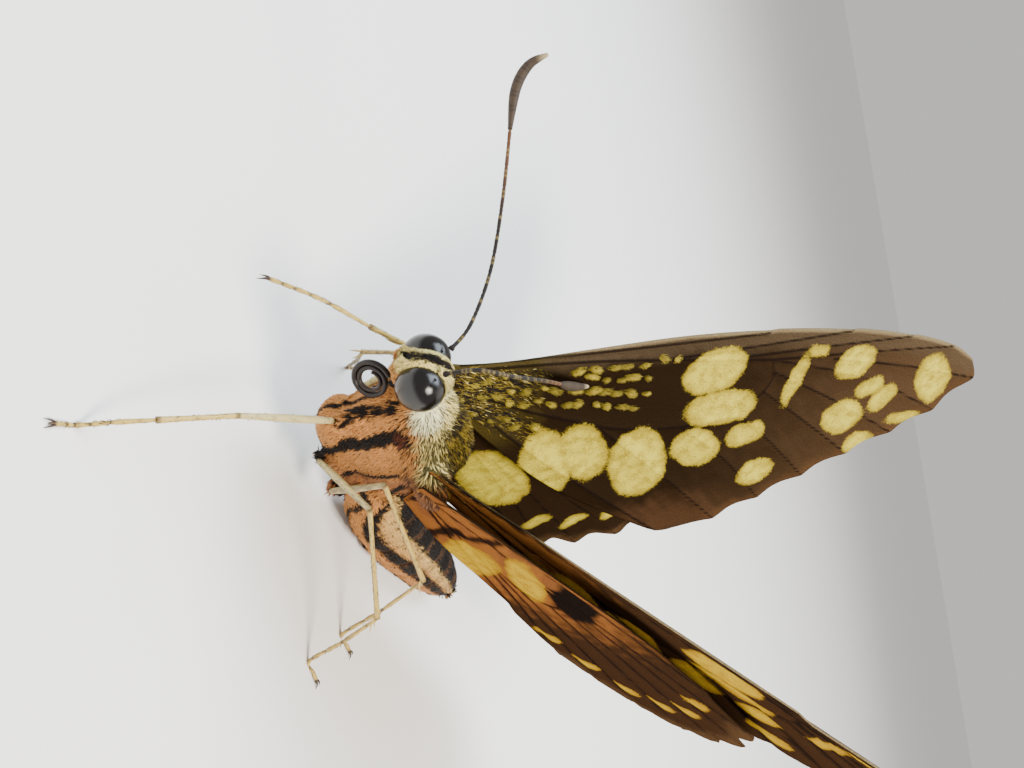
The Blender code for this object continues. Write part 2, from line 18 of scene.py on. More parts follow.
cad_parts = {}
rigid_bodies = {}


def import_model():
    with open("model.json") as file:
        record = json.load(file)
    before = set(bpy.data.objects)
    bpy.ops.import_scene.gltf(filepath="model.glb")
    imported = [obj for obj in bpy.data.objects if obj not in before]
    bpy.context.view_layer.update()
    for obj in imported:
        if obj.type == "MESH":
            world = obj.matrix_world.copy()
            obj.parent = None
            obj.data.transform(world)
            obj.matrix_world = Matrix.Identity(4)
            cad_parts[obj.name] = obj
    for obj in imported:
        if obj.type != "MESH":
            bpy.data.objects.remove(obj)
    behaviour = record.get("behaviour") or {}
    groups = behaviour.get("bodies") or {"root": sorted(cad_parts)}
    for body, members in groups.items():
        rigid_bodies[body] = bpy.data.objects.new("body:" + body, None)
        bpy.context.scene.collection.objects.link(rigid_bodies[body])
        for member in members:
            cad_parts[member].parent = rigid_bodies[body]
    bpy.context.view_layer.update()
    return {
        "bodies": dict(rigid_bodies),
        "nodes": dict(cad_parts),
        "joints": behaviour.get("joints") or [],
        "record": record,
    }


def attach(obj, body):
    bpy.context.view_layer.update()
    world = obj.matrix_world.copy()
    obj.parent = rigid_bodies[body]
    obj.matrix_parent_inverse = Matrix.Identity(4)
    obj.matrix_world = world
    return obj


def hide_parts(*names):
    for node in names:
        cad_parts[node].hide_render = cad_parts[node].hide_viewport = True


LOG = logging.getLogger("butterfly")
MM = 0.001
BODY = "root"
BAKE_MAP = "OFBake"
BAKE_PATCH = 0.003

Array = np.ndarray
Colour = tuple[float, float, float]
Flat = tuple[float, float]
Point = tuple[float, float, float]


class Side(Enum):
    """The two sides of the body, valued by the sign of X."""

    LEFT = 1
    RIGHT = -1

    @property
    def label(self) -> str:
        """The side's name as the nodes spell it."""
        return self.name.lower()


# ---------------------------------------------------------------- lines and places


def eased(low: float, high: float, values: Array) -> Array:
    """A smooth step from 0 to 1.

    Args:
        low: Value at which the step leaves 0.
        high: Value at which it reaches 1; it may lie below low.
        values: The values to step.

    Returns:
        The stepped values.
    """
    t = np.clip((values - low) / (high - low), 0.0, 1.0)
    return t * t * (3.0 - 2.0 * t)


def smooth_path(points: Sequence[Sequence[float]], steps: int) -> Array:
    """A smooth line through the given points.

    Args:
        points: The points, in two or three dimensions.
        steps: Points for each stretch between two of them.

    Returns:
        The line's points as rows.
    """
    spots = np.asarray(points, float)
    path = []
    for index in range(len(spots) - 1):
        before, start = spots[max(index - 1, 0)], spots[index]
        end, after = spots[index + 1], spots[min(index + 2, len(spots) - 1)]
        for t in np.arange(steps) / steps:
            path.append(0.5 * (2.0 * start + (end - before) * t
                               + (2.0 * before - 5.0 * start + 4.0 * end - after) * t ** 2
                               + (3.0 * start - before - 3.0 * end + after) * t ** 3))
    path.append(spots[-1])
    return np.array(path)


def along(path: Array) -> Array:
    """Distance from the first point of a path to each of its points."""
    return np.concatenate(([0.0], np.cumsum(np.linalg.norm(np.diff(path, axis=0), axis=1))))


def stations(path: Array, count: int) -> Array:
    """The same path with evenly spaced points.

    Args:
        path: Points as rows.
        count: Number of points wanted.

    Returns:
        The spaced points.
    """
    reach = along(path)
    wanted = np.linspace(0.0, reach[-1], count)
    return np.stack([np.interp(wanted, reach, path[:, k]) for k in range(path.shape[1])], axis=1)


def unit(vectors: Array) -> Array:
    """The vectors at length 1."""
    return vectors / np.maximum(np.linalg.norm(vectors, axis=-1, keepdims=True), 1e-12)


def across_path(path: Array) -> tuple[Array, Array]:
    """Two cross directions at each point of a path, turned as little as possible along it.

    Args:
        path: Points as rows.

    Returns:
        The two sets of unit vectors.
    """
    heading = unit(np.gradient(path, axis=0))
    start = np.array((0.0, 0.0, 1.0)) if abs(heading[0][2]) < 0.9 else np.array((0.0, 1.0, 0.0))
    first = [unit(start - heading[0] * start.dot(heading[0]))]
    for direction in heading[1:]:
        first.append(unit(first[-1] - direction * first[-1].dot(direction)))
    sides = np.array(first)
    return sides, np.cross(heading, sides)


def line_distance(points: Array, line: Sequence[Sequence[float]]) -> Array:
    """Distance from points to a line of straight stretches.

    Args:
        points: Points as rows.
        line: The line's corners, in as many dimensions.

    Returns:
        The distance of each point.
    """
    corners = np.asarray(line, float)
    best = np.full(len(points), np.inf)
    for start, end in zip(corners, corners[1:]):
        stretch = end - start
        t = np.clip((points - start) @ stretch / stretch.dot(stretch), 0.0, 1.0)
        best = np.minimum(best, np.linalg.norm(points - start - t[:, None] * stretch, axis=1))
    return best


def grain(points: Array, size: float, seed: int) -> Array:
    """Smooth random values from -1 to 1 at places, the same each run.

    Args:
        points: Places as rows.
        size: Width of one blotch.
        seed: Number that sets the pattern.

    Returns:
        A value for each place.
    """
    waves = np.random.default_rng(seed)
    total = np.zeros(len(points))
    for _ in range(12):
        direction = unit(waves.normal(size=points.shape[1]))
        pace = math.tau / size * waves.uniform(0.5, 1.3)
        total += np.sin(points @ direction * pace + waves.uniform(0.0, math.tau))
    return np.clip(total / 4.0, -1.0, 1.0)


@dataclass(frozen=True)
class Stance:
    """Where the body lies in the frame: the point between the eyes, and the fore body's pitch."""

    eyes: Point = (0.0, -14.1, 13.7)
    pitch: float = math.radians(22.0)

    def turn(self) -> Array:
        """The matrix from body axes to level axes."""
        return np.array(Matrix.Rotation(-self.pitch, 3, "X"))

    def from_body(self, points: Sequence[Sequence[float]]) -> Array:
        """Places in the frame from places in body axes: sideways, back and up from the eyes."""
        return np.asarray(points, float) @ self.turn().T + np.array(self.eyes)

    def to_body(self, places: Array) -> Array:
        """Places in body axes from places in the frame."""
        return (places - np.array(self.eyes)) @ self.turn()

    def from_eyes(self, points: Sequence[Sequence[float]]) -> Array:
        """Places in the frame from level distances to the eyes."""
        return np.asarray(points, float) + np.array(self.eyes)

    def standing(self, points: Sequence[Sequence[float]]) -> Array:
        """Places in the frame from heights above the floor and distances back from the eyes."""
        return np.asarray(points, float) + np.array((0.0, self.eyes[1], 0.0))


STANCE = Stance()


# ---------------------------------------------------------------- meshes


def select_only(*objects: bpy.types.Object) -> None:
    """Selects these objects alone and makes the first one active."""
    bpy.ops.object.select_all(action="DESELECT")
    for obj in objects:
        obj.select_set(True)
    bpy.context.view_layer.objects.active = objects[0]


def linked(name: str, data: bpy.types.ID) -> bpy.types.Object:
    """A new object in the scene that carries this data."""
    obj = bpy.data.objects.new(name, data)
    bpy.context.scene.collection.objects.link(obj)
    return obj


def vertex_rows(obj: bpy.types.Object, key: str) -> Array:
    """One vector property of an object's vertices, as rows."""
    flat = np.empty(len(obj.data.vertices) * 3)
    obj.data.vertices.foreach_get(key, flat)
    return flat.reshape(-1, 3)


def places_of(obj: bpy.types.Object) -> Array:
    """The places of an object's vertices in mm, as rows."""
    return vertex_rows(obj, "co") / MM


def put_places(obj: bpy.types.Object, places: Array) -> None:
    """Moves an object's vertices to places in mm."""
    obj.data.vertices.foreach_set("co", (places * MM).ravel())
    obj.data.update()


def keep_above(obj: bpy.types.Object, height: float) -> None:
    """Lifts the vertices that lie lower than a height over the floor, in mm."""
    places = places_of(obj)
    places[:, 2] = np.maximum(places[:, 2], height)
    put_places(obj, places)


def plain(row: Sequence[float] | Array, count: int) -> Array:
    """The same colour or direction for each of so many places, as rows."""
    return np.tile(np.array(row), (count, 1))


def paint(obj: bpy.types.Object, name: str, colours: Array) -> None:
    """Stores a colour for each vertex.

    Args:
        obj: The mesh object.
        name: Name of the colour attribute.
        colours: Rows of red, green and blue.
    """
    layer = obj.data.color_attributes.new(name, "FLOAT_COLOR", "POINT")
    rows = np.concatenate((np.clip(colours, 0.0, 1.0), np.ones((len(colours), 1))), axis=1)
    layer.data.foreach_set("color", rows.ravel())


def note(obj: bpy.types.Object, name: str, values: Array) -> None:
    """Stores a number, or three, for each vertex under a name."""
    if values.ndim == 1:
        obj.data.attributes.new(name, "FLOAT", "POINT").data.foreach_set("value", values)
    else:
        layer = obj.data.attributes.new(name, "FLOAT_VECTOR", "POINT")
        layer.data.foreach_set("vector", values.ravel())


def noted(obj: bpy.types.Object, name: str) -> Array:
    """The number noted on each vertex under a name."""
    values = np.empty(len(obj.data.vertices))
    obj.data.attributes[name].data.foreach_get("value", values)
    return values


def lay_map(obj: bpy.types.Object, name: str, spots: Array) -> None:
    """Lays a UV map on a mesh.

    Args:
        obj: The mesh object.
        name: The map's name.
        spots: A flat place for each vertex.
    """
    corner = np.empty(len(obj.data.loops), int)
    obj.data.loops.foreach_get("vertex_index", corner)
    obj.data.uv_layers.new(name=name).uv.foreach_set("vector", spots[corner].ravel())


def apply_modifier(obj: bpy.types.Object, kind: str, **settings: object) -> None:
    """Adds a modifier with its settings and applies it.

    Args:
        obj: The mesh object.
        kind: The modifier's type.
        **settings: The modifier's properties.
    """
    select_only(obj)
    step = obj.modifiers.new(kind.title(), kind)
    for key, value in settings.items():
        setattr(step, key, value)
    bpy.ops.object.modifier_apply(modifier=step.name)


def joined(name: str, pieces: Sequence[bpy.types.Object]) -> bpy.types.Object:
    """Joins pieces to one object with a name."""
    select_only(*pieces)
    if len(pieces) > 1:
        bpy.ops.object.join()
    whole = bpy.context.object
    whole.name = whole.data.name = name
    return whole


def finished(obj: bpy.types.Object, name: str, slot: str, nodes: Sequence[str],
             *materials: bpy.types.Material) -> bpy.types.Object:
    """Names, shades and dresses a piece and fixes it to the body.

    Args:
        obj: The piece.
        name: Its name.
        slot: The record's material slot of the piece; not used.
        nodes: CAD nodes that it stands for; none for an added piece.
        *materials: Its materials in slot order.

    Returns:
        The piece.
    """
    obj.name = obj.data.name = name
    obj.data.polygons.foreach_set("use_smooth", np.ones(len(obj.data.polygons), bool))
    if len(materials) == 1:
        obj.data.materials.clear()
    for material in materials[len(obj.data.materials):]:
        obj.data.materials.append(material)
    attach(obj, BODY)
    if nodes:
        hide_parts(*nodes)
    LOG.info("%s: %d faces", name, len(obj.data.polygons))
    return obj


class TubeStock:
    """Round bars of every needed number of sides and rings, modelled once and then copied."""

    def __init__(self) -> None:
        """Starts with no bars."""
        self.bars: dict[tuple[int, int], bpy.types.Mesh] = {}

    def bar(self, sides: int, rings: int) -> bpy.types.Mesh:
        """A closed bar of height 1 with evenly spaced rings.

        Args:
            sides: Corners of each ring.
            rings: Number of rings, ends included.

        Returns:
            The mesh to copy.
        """
        key = (sides, rings)
        if key not in self.bars:
            bpy.ops.object.select_all(action="DESELECT")
            bpy.ops.mesh.primitive_cylinder_add(vertices=sides, radius=1.0, depth=1.0)
            obj = bpy.context.object
            if rings > 2:
                self.ring_cuts(obj, rings - 2)
            self.bars[key] = obj.data
            bpy.data.objects.remove(obj)
            self.bars[key].use_fake_user = True
        return self.bars[key]

    @staticmethod
    def ring_cuts(obj: bpy.types.Object, cuts: int) -> None:
        """Divides a primitive's upright edges.

        Args:
            obj: The primitive, selected and active.
            cuts: Cuts in each upright edge.
        """
        bpy.ops.object.mode_set(mode="EDIT")
        bpy.ops.mesh.select_mode(type="EDGE")
        bpy.ops.mesh.select_all(action="DESELECT")
        bpy.ops.object.mode_set(mode="OBJECT")
        corners = obj.data.vertices
        for edge in obj.data.edges:
            low, high = (corners[index].co.z for index in edge.vertices)
            edge.select = abs(low - high) > 0.1
        bpy.ops.object.mode_set(mode="EDIT")
        bpy.ops.mesh.subdivide(number_cuts=cuts)
        bpy.ops.object.mode_set(mode="OBJECT")

    def tube(self, path: Array, radii: Sequence[float] | Array, sides: int = 12,
             rings: int | None = None) -> bpy.types.Object:
        """A closed tube along a path, with the distance along it noted on each vertex.

        Args:
            path: Points of the middle line in mm.
            radii: Radii in mm, evenly spaced along it.
            sides: Corners of each ring.
            rings: Rings along it; as many as path points if left out.

        Returns:
            The tube, with the attribute Along in mm.
        """
        rings = rings or len(path)
        line = stations(path, rings)
        wide = np.interp(np.linspace(0.0, 1.0, rings), np.linspace(0.0, 1.0, len(radii)), radii)
        obj = linked("tube", self.bar(sides, rings).copy())
        raw = places_of(obj) * MM
        ring = np.rint((raw[:, 2] + 0.5) * (rings - 1)).astype(int)
        angle = np.arctan2(raw[:, 1], raw[:, 0])
        first, second = across_path(line)
        outward = first[ring] * np.cos(angle)[:, None] + second[ring] * np.sin(angle)[:, None]
        put_places(obj, line[ring] + outward * wide[ring][:, None])
        note(obj, "Along", along(line)[ring])
        return obj


STOCK = TubeStock()


@dataclass(frozen=True)
class Tufts:
    """One kind of tuft: sizes in mm, and how far it may sway as a share of its length."""

    length: float
    width: float
    thickness: float
    lift: float
    sway: float = 0.12
    sink: float = 0.04


class TuftMaker:
    """Lays solid tufts over a surface; one tuft is modelled and its copies are joined.

    The ranges say how far tufts differ in size, lift and shade; root_shade and tip_shade are the
    darkness at the root and what is added towards the tip.
    """

    flare = ((0.0, 0.5, 1.0), (0.6, 1.0, 0.0))
    sizes = (0.75, 1.2)
    lifts = (0.5, 1.3)
    shades = (0.8, 1.15)
    root_shade = 0.8
    tip_shade = 0.35

    def __init__(self) -> None:
        """Models the tuft: a three-sided cone with a ring half way."""
        bpy.ops.object.select_all(action="DESELECT")
        bpy.ops.mesh.primitive_cone_add(vertices=3, radius1=1.0, radius2=0.0, depth=1.0)
        obj = bpy.context.object
        TubeStock.ring_cuts(obj, 1)
        corners = places_of(obj) * MM
        self.rise = corners[:, 2] + 0.5
        spread = np.linalg.norm(corners[:, :2], axis=1, keepdims=True)
        flare = np.interp(self.rise, *self.flare)[:, None]
        self.ring = corners[:, :2] / np.maximum(spread, 1e-9) * flare
        self.faces = [tuple(face.vertices) for face in obj.data.polygons]
        bpy.data.objects.remove(obj)

    def lay(self, kind: Tufts, roots: Array, normals: Array, lies: Array, colours: Array,
            patches: Array, seed: int, sizes: Array | None = None) -> bpy.types.Object:
        """Joins one tuft for each root to a coat.

        Args:
            kind: The tuft's sizes.
            roots: Places of the roots in mm.
            normals: Surface normals there.
            lies: Directions that the tufts lie in.
            colours: A colour for each tuft.
            patches: Each root's place on the unwrap.
            seed: Number that sets the variation.
            sizes: Size of each tuft against the kind's; 1 if left out.

        Returns:
            The coat, with the colour attribute Marking and the bake map.
        """
        count, corners = len(roots), len(self.rise)
        varied = np.random.default_rng(seed)
        scale = varied.uniform(*self.sizes, count) * (1.0 if sizes is None else sizes)
        lies = unit(lies - normals * np.sum(lies * normals, axis=1, keepdims=True))
        sides = np.cross(normals, lies)
        lies = unit(lies + sides * varied.normal(0.0, kind.sway, count)[:, None])
        sides = np.cross(normals, lies)
        rise = self.rise[None, :, None]
        bend = varied.normal(0.0, kind.sway, count)[:, None, None] * kind.length * rise ** 2
        lift = varied.uniform(*self.lifts, count)[:, None, None] * kind.lift * rise ** 1.2
        height = self.ring[None, :, 1, None] * kind.thickness + lift - kind.sink * (1.0 - rise)
        offset = (sides[:, None, :] * (self.ring[None, :, 0, None] * kind.width + bend)
                  + normals[:, None, :] * height + lies[:, None, :] * rise * kind.length)
        places = roots[:, None, :] + offset * scale[:, None, None]
        shift = np.arange(count) * corners
        faces = []
        for face in self.faces:
            faces += (shift[:, None] + np.array(face)[None, :]).tolist()
        mesh = bpy.data.meshes.new("coat")
        mesh.from_pydata((places.reshape(-1, 3) * MM).tolist(), [], faces)
        obj = linked("coat", mesh)
        shade = self.root_shade + self.tip_shade * rise
        shade = shade * varied.uniform(*self.shades, count)[:, None, None]
        paint(obj, "Marking", (colours[:, None, :] * shade).reshape(-1, 3))
        patch = np.concatenate((self.ring[:, :1] * 0.5, self.rise[:, None] - 0.5), axis=1)
        spots = (patches[:, None, :] + patch[None, :, :] * BAKE_PATCH).reshape(-1, 2)
        lay_map(obj, BAKE_MAP, np.clip(spots, 0.0, 1.0))
        return obj


MAKER = TuftMaker()


def scattered(obj: bpy.types.Object, count: int, seed: int,
              wanted: Callable[[Array, Array], Array]) -> tuple[Array, Array]:
    """Roots spread over a mesh by area and by a wish.

    Args:
        obj: The mesh object.
        count: Number of roots.
        seed: Number that sets the places.
        wanted: How dense the roots are, from places and normals.

    Returns:
        The roots in mm and their normals.
    """
    mesh = obj.data
    mesh.calc_loop_triangles()
    corner = np.empty(len(mesh.loop_triangles) * 3, int)
    mesh.loop_triangles.foreach_get("vertices", corner)
    corner = corner.reshape(-1, 3)
    places, normals = places_of(obj)[corner], vertex_rows(obj, "normal")[corner]
    area = np.linalg.norm(np.cross(places[:, 1] - places[:, 0], places[:, 2] - places[:, 0]),
                          axis=1)
    weight = area * wanted(places.mean(axis=1), unit(normals.mean(axis=1)))
    spread = np.random.default_rng(seed)
    picked = spread.choice(len(corner), count, p=weight / weight.sum())
    share = spread.dirichlet((1.0, 1.0, 1.0), count)[:, :, None]
    return (places[picked] * share).sum(axis=1), unit((normals[picked] * share).sum(axis=1))


# ---------------------------------------------------------------- shader values


class Value:
    """A shader socket that takes part in Python expressions."""

    def __init__(self, shader: "Shader", socket: bpy.types.NodeSocket) -> None:
        """Wraps an output socket of a shader's node."""
        self.shader = shader
        self.socket = socket

    def maths(self, operation: str, *operands: object) -> "Value":
        """A Math node on the operands."""
        settings = {"operation": operation}
        return self.shader.node("ShaderNodeMath", settings, dict(enumerate(operands)))

    def __add__(self, other: object) -> "Value":
        """The sum."""
        return self.maths("ADD", self, other)

    def __mul__(self, other: object) -> "Value":
        """The product."""
        return self.maths("MULTIPLY", self, other)

    def __sub__(self, other: object) -> "Value":
        """The difference."""
        return self.maths("SUBTRACT", self, other)

    def __rsub__(self, other: object) -> "Value":
        """A number minus this value."""
        return self.maths("SUBTRACT", other, self)

    def __truediv__(self, other: object) -> "Value":
        """The quotient."""
        return self.maths("DIVIDE", self, other)

    __radd__ = __add__
    __rmul__ = __mul__

    def fraction(self) -> "Value":
        """The part after the decimal point."""
        return self.maths("FRACT", self)

    def step(self, low: float, high: float) -> "Value":
        """A smooth step from 0 at low to 1 at high."""
        settings = {"interpolation_type": "SMOOTHSTEP"}
        sockets = {"Value": self, "From Min": low, "From Max": high}
        return self.shader.node("ShaderNodeMapRange", settings, sockets)


class Shader:
    """One material under construction."""

    def __init__(self, name: str) -> None:
        """Starts an empty node tree."""
        self.material = bpy.data.materials.new(name)
        self.material.use_nodes = True
        self.tree = self.material.node_tree
        self.tree.nodes.clear()

    def node(self, kind: str, settings: dict[str, object] | None = None,
             sockets: dict[str | int, object] | None = None, output: str | int = 0) -> Value:
        """Adds a node.

        Args:
            kind: The node's type.
            settings: Properties, set first.
            sockets: Values or links of its inputs, by name or number.
            output: The output that is returned.

        Returns:
            The output socket, wrapped.
        """
        made = self.tree.nodes.new(kind)
        for key, value in (settings or {}).items():
            setattr(made, key, value)
        for key, value in (sockets or {}).items():
            if isinstance(value, Value):
                self.tree.links.new(value.socket, made.inputs[key])
            else:
                made.inputs[key].default_value = value
        return Value(self, made.outputs[output])

    def colour(self, name: str) -> Value:
        """A colour stored on the mesh."""
        return self.node("ShaderNodeAttribute", {"attribute_name": name}, output="Color")

    def number(self, name: str) -> Value:
        """A number stored on the mesh."""
        return self.node("ShaderNodeAttribute", {"attribute_name": name}, output="Fac")

    def places(self, name: str = "") -> Value:
        """Places in metres: the object's own, or those stored on the mesh under a name."""
        if name:
            return self.node("ShaderNodeAttribute", {"attribute_name": name}, output="Vector")
        return self.node("ShaderNodeTexCoord", output="Object")

    def noise(self, places: Value, size: float, detail: float = 2.0) -> Value:
        """Noise about 0.5 with blotches of a size in the places' own unit."""
        return self.node("ShaderNodeTexNoise", None,
                         {"Vector": places, "Scale": 1.0 / size, "Detail": detail})

    def stretched(self, places: Value, scale: Point) -> Value:
        """Places scaled along each axis."""
        return self.node("ShaderNodeMapping", None, {"Vector": places, "Scale": scale})

    def mixed(self, share: object, first: object, second: object,
              blend: str = "MIX") -> Value:
        """A mix of two colours.

        Args:
            share: How much of the second.
            first: Colour socket or red, green and blue.
            second: The other one.
            blend: The blend's name.

        Returns:
            The colour.
        """
        opaque = [colour if isinstance(colour, Value) else (*colour, 1.0)
                  for colour in (first, second)]
        return self.node("ShaderNodeMix", {"data_type": "RGBA", "blend_type": blend},
                         {0: share, 6: opaque[0], 7: opaque[1]}, output=2)

    def shaded(self, colour: Value, shade: Value) -> Value:
        """A colour made darker or lighter by a number."""
        return self.node("ShaderNodeVectorMath", {"operation": "SCALE"},
                         {"Vector": colour, "Scale": shade})

    def bump(self, height: Value, depth: float, strength: float = 1.0) -> Value:
        """A normal from a height of 0 to 1 that stands for a depth in mm."""
        return self.node("ShaderNodeBump", None,
                         {"Height": height, "Distance": depth * MM, "Strength": strength})

    def surface(self, **sockets: object) -> bpy.types.Material:
        """Ends the material with its shader.

        Args:
            **sockets: Inputs of the Principled shader, with _ for each space.

        Returns:
            The material.
        """
        named = {key.replace("_", " "): value for key, value in sockets.items()}
        shader = self.node("ShaderNodeBsdfPrincipled", None, named)
        output = self.tree.nodes.new("ShaderNodeOutputMaterial")
        self.tree.links.new(shader.socket, output.inputs["Surface"])
        return self.material


@dataclass(frozen=True)
class SkinFinish:
    """Skin under the scales: the body's markings, broken up by short flat hair."""

    name: str = "scaled_skin"
    hair: float = 0.09
    depth: float = 0.05

    def material(self) -> bpy.types.Material:
        """The material."""
        shader = Shader(self.name)
        places = shader.places()
        hair = shader.noise(shader.stretched(places, (1.0, 0.35, 0.6)), self.hair * MM * 0.6)
        fine = shader.noise(places, self.hair * MM * 0.3)
        tone = shader.shaded(shader.colour("Marking"), hair * 1.1 + 0.42)
        return shader.surface(Base_Color=tone, Roughness=hair * 0.3 + 0.55,
                              Normal=shader.bump(hair + fine * 0.5, self.depth),
                              Specular_IOR_Level=0.08)


@dataclass(frozen=True)
class CoatFinish:
    """Tufts of hair and scales in the colours laid on them."""

    name: str
    roughness: float = 0.5

    def material(self) -> bpy.types.Material:
        """The material."""
        shader = Shader(self.name)
        strands = shader.noise(shader.places(), 0.05 * MM)
        tone = shader.shaded(shader.colour("Marking"), strands * 0.7 + 0.68)
        return shader.surface(Base_Color=tone, Roughness=strands * 0.25 + self.roughness - 0.1,
                              Normal=shader.bump(strands, 0.012), Specular_IOR_Level=0.12)


@dataclass(frozen=True)
class WingFinish:
    """Rows of scales over a wing, with rough-edged spots and dark veins."""

    name: str
    ground: str
    spots: str
    spot_colour: Colour
    spot_shade: Colour
    vein_colour: Colour
    vein_width: float = 0.11
    dust_colour: Colour = (0.42, 0.33, 0.08)
    roughness: float = 0.46

    def material(self) -> bpy.types.Material:
        """The material."""
        shader = Shader(self.name)
        plane = shader.places("Plane")
        scales = shader.noise(shader.stretched(plane, (1.0, 0.55, 1.0)), 0.085, 1.0)
        grains = shader.noise(plane, 0.17, 3.0)
        blotch = shader.noise(plane, 0.9, 3.0)
        inside = (shader.number(self.spots) + (blotch - 0.5) * 0.5 + (grains - 0.5) * 0.45)
        spot = inside.step(-0.16, 0.12)
        vein = shader.number("Vein") + (grains - 0.5) * 0.12
        ridge = 1.0 - vein.step(self.vein_width * 0.4, self.vein_width * 1.6)
        dust = (grains + shader.number("Dust") - 1.0).step(0.03, 0.11)
        tone = shader.shaded(shader.colour(self.ground), scales * 1.3 + 0.35)
        tone = shader.mixed(dust, tone, self.dust_colour)
        tone = shader.mixed(ridge * 0.85, tone, self.vein_colour)
        worn = (grains * 0.3 + scales * 0.25 + blotch * 0.45).step(0.36, 0.58)
        pale = shader.mixed(worn * inside.step(-0.1, 0.7), self.spot_shade, self.spot_colour)
        tone = shader.mixed(spot, tone, pale)
        height = scales * 0.45 + grains * 0.5 * spot + dust * 0.3 + ridge * 0.7
        return shader.surface(Base_Color=tone,
                              Roughness=self.roughness + scales * 0.2 + spot * 0.12,
                              Normal=shader.bump(height, 0.05), Specular_IOR_Level=0.0)


@dataclass(frozen=True)
class EyeFinish:
    """A glossy compound eye: black above, brown below, with fine facets."""

    name: str = "compound_eye"
    facet: float = 0.034
    dark: Colour = (0.004, 0.003, 0.003)
    brown: Colour = (0.05, 0.024, 0.01)
    low: float = 12.4
    high: float = 13.6

    def material(self) -> bpy.types.Material:
        """The material."""
        shader = Shader(self.name)
        places = shader.places()
        cells = shader.node("ShaderNodeTexVoronoi", None,
                            {"Vector": places, "Scale": 1.0 / (self.facet * MM)})
        height = shader.node("ShaderNodeSeparateXYZ", None, {"Vector": places}, output="Z")
        blotch = shader.noise(places, 0.7 * MM)
        upper = (height / MM + (blotch - 0.5) * 1.2).step(self.low, self.high)
        tone = shader.mixed(upper, self.brown, self.dark)
        return shader.surface(Base_Color=tone, Roughness=cells * 0.12 + 0.08,
                              Normal=shader.bump(cells, 0.006, 0.5),
                              Specular_IOR_Level=0.45)


@dataclass(frozen=True)
class HornFinish:
    """Glossy horn in the colours laid on it, with fine grooves across it."""

    name: str
    groove: float = 0.11
    roughness: float = 0.3
    coat: float = 0.3
    depth: float = 0.02

    def material(self) -> bpy.types.Material:
        """The material."""
        shader = Shader(self.name)
        places = shader.places()
        speck = shader.noise(places, 0.06 * MM)
        ring = (shader.number("Along") / self.groove).fraction()
        ring = ring.step(0.0, 0.25) * (1.0 - ring.step(0.75, 1.0))
        tone = shader.shaded(shader.colour("Marking"), speck * 0.8 + 0.6)
        return shader.surface(Base_Color=tone, Roughness=speck * 0.2 + self.roughness,
                              Normal=shader.bump(ring * 0.6 + speck * 0.4, self.depth),
                              Coat_Weight=self.coat, Coat_Roughness=0.2,
                              Specular_IOR_Level=0.25)


@dataclass(frozen=True)
class FloorFinish:
    """Matt pale card with a very fine tooth."""

    name: str = "pale_card"
    colour: Colour = (0.87, 0.86, 0.84)

    def material(self) -> bpy.types.Material:
        """The material."""
        shader = Shader(self.name)
        tooth = shader.noise(shader.places(), 1.5 * MM, 3.0)
        tone = shader.mixed(tooth * 0.08, self.colour, (0.92, 0.91, 0.89))
        return shader.surface(Base_Color=tone, Roughness=0.9)


# ---------------------------------------------------------------- body


@dataclass(frozen=True)
class Palette:
    """Colours of the body's scales and hair."""

    black: Colour = (0.009, 0.006, 0.005)
    brown: Colour = (0.1, 0.05, 0.025)
    chestnut: Colour = (0.1, 0.03, 0.014)
    peach: Colour = (0.5, 0.22, 0.065)
    pink: Colour = (0.33, 0.135, 0.05)
    cream: Colour = (0.72, 0.6, 0.22)
    white: Colour = (0.86, 0.82, 0.52)
    gold: Colour = (0.24, 0.165, 0.018)


PALETTE = Palette()


def over(colours: Array, share: Array, colour: Colour) -> Array:
    """Colours with another laid over them by a share for each row."""
    return colours + (np.array(colour) - colours) * np.clip(share, 0.0, 1.0)[:, None]


@dataclass(frozen=True)
class Stripe:
    """A line of dark scales, by its half width and its corners, in mm."""

    half_width: float
    line: tuple[Flat, ...]

    def beyond(self, flat: Array) -> Array:
        """How far each flat place lies outside the stripe, below 0 inside."""
        return line_distance(flat, self.line) - self.half_width


@dataclass(frozen=True)
class BodyPlaces:
    """Places beside, behind and above the point between the eyes, and their edges' unevenness."""

    side: Array
    back: Array
    height: Array
    rough: Array


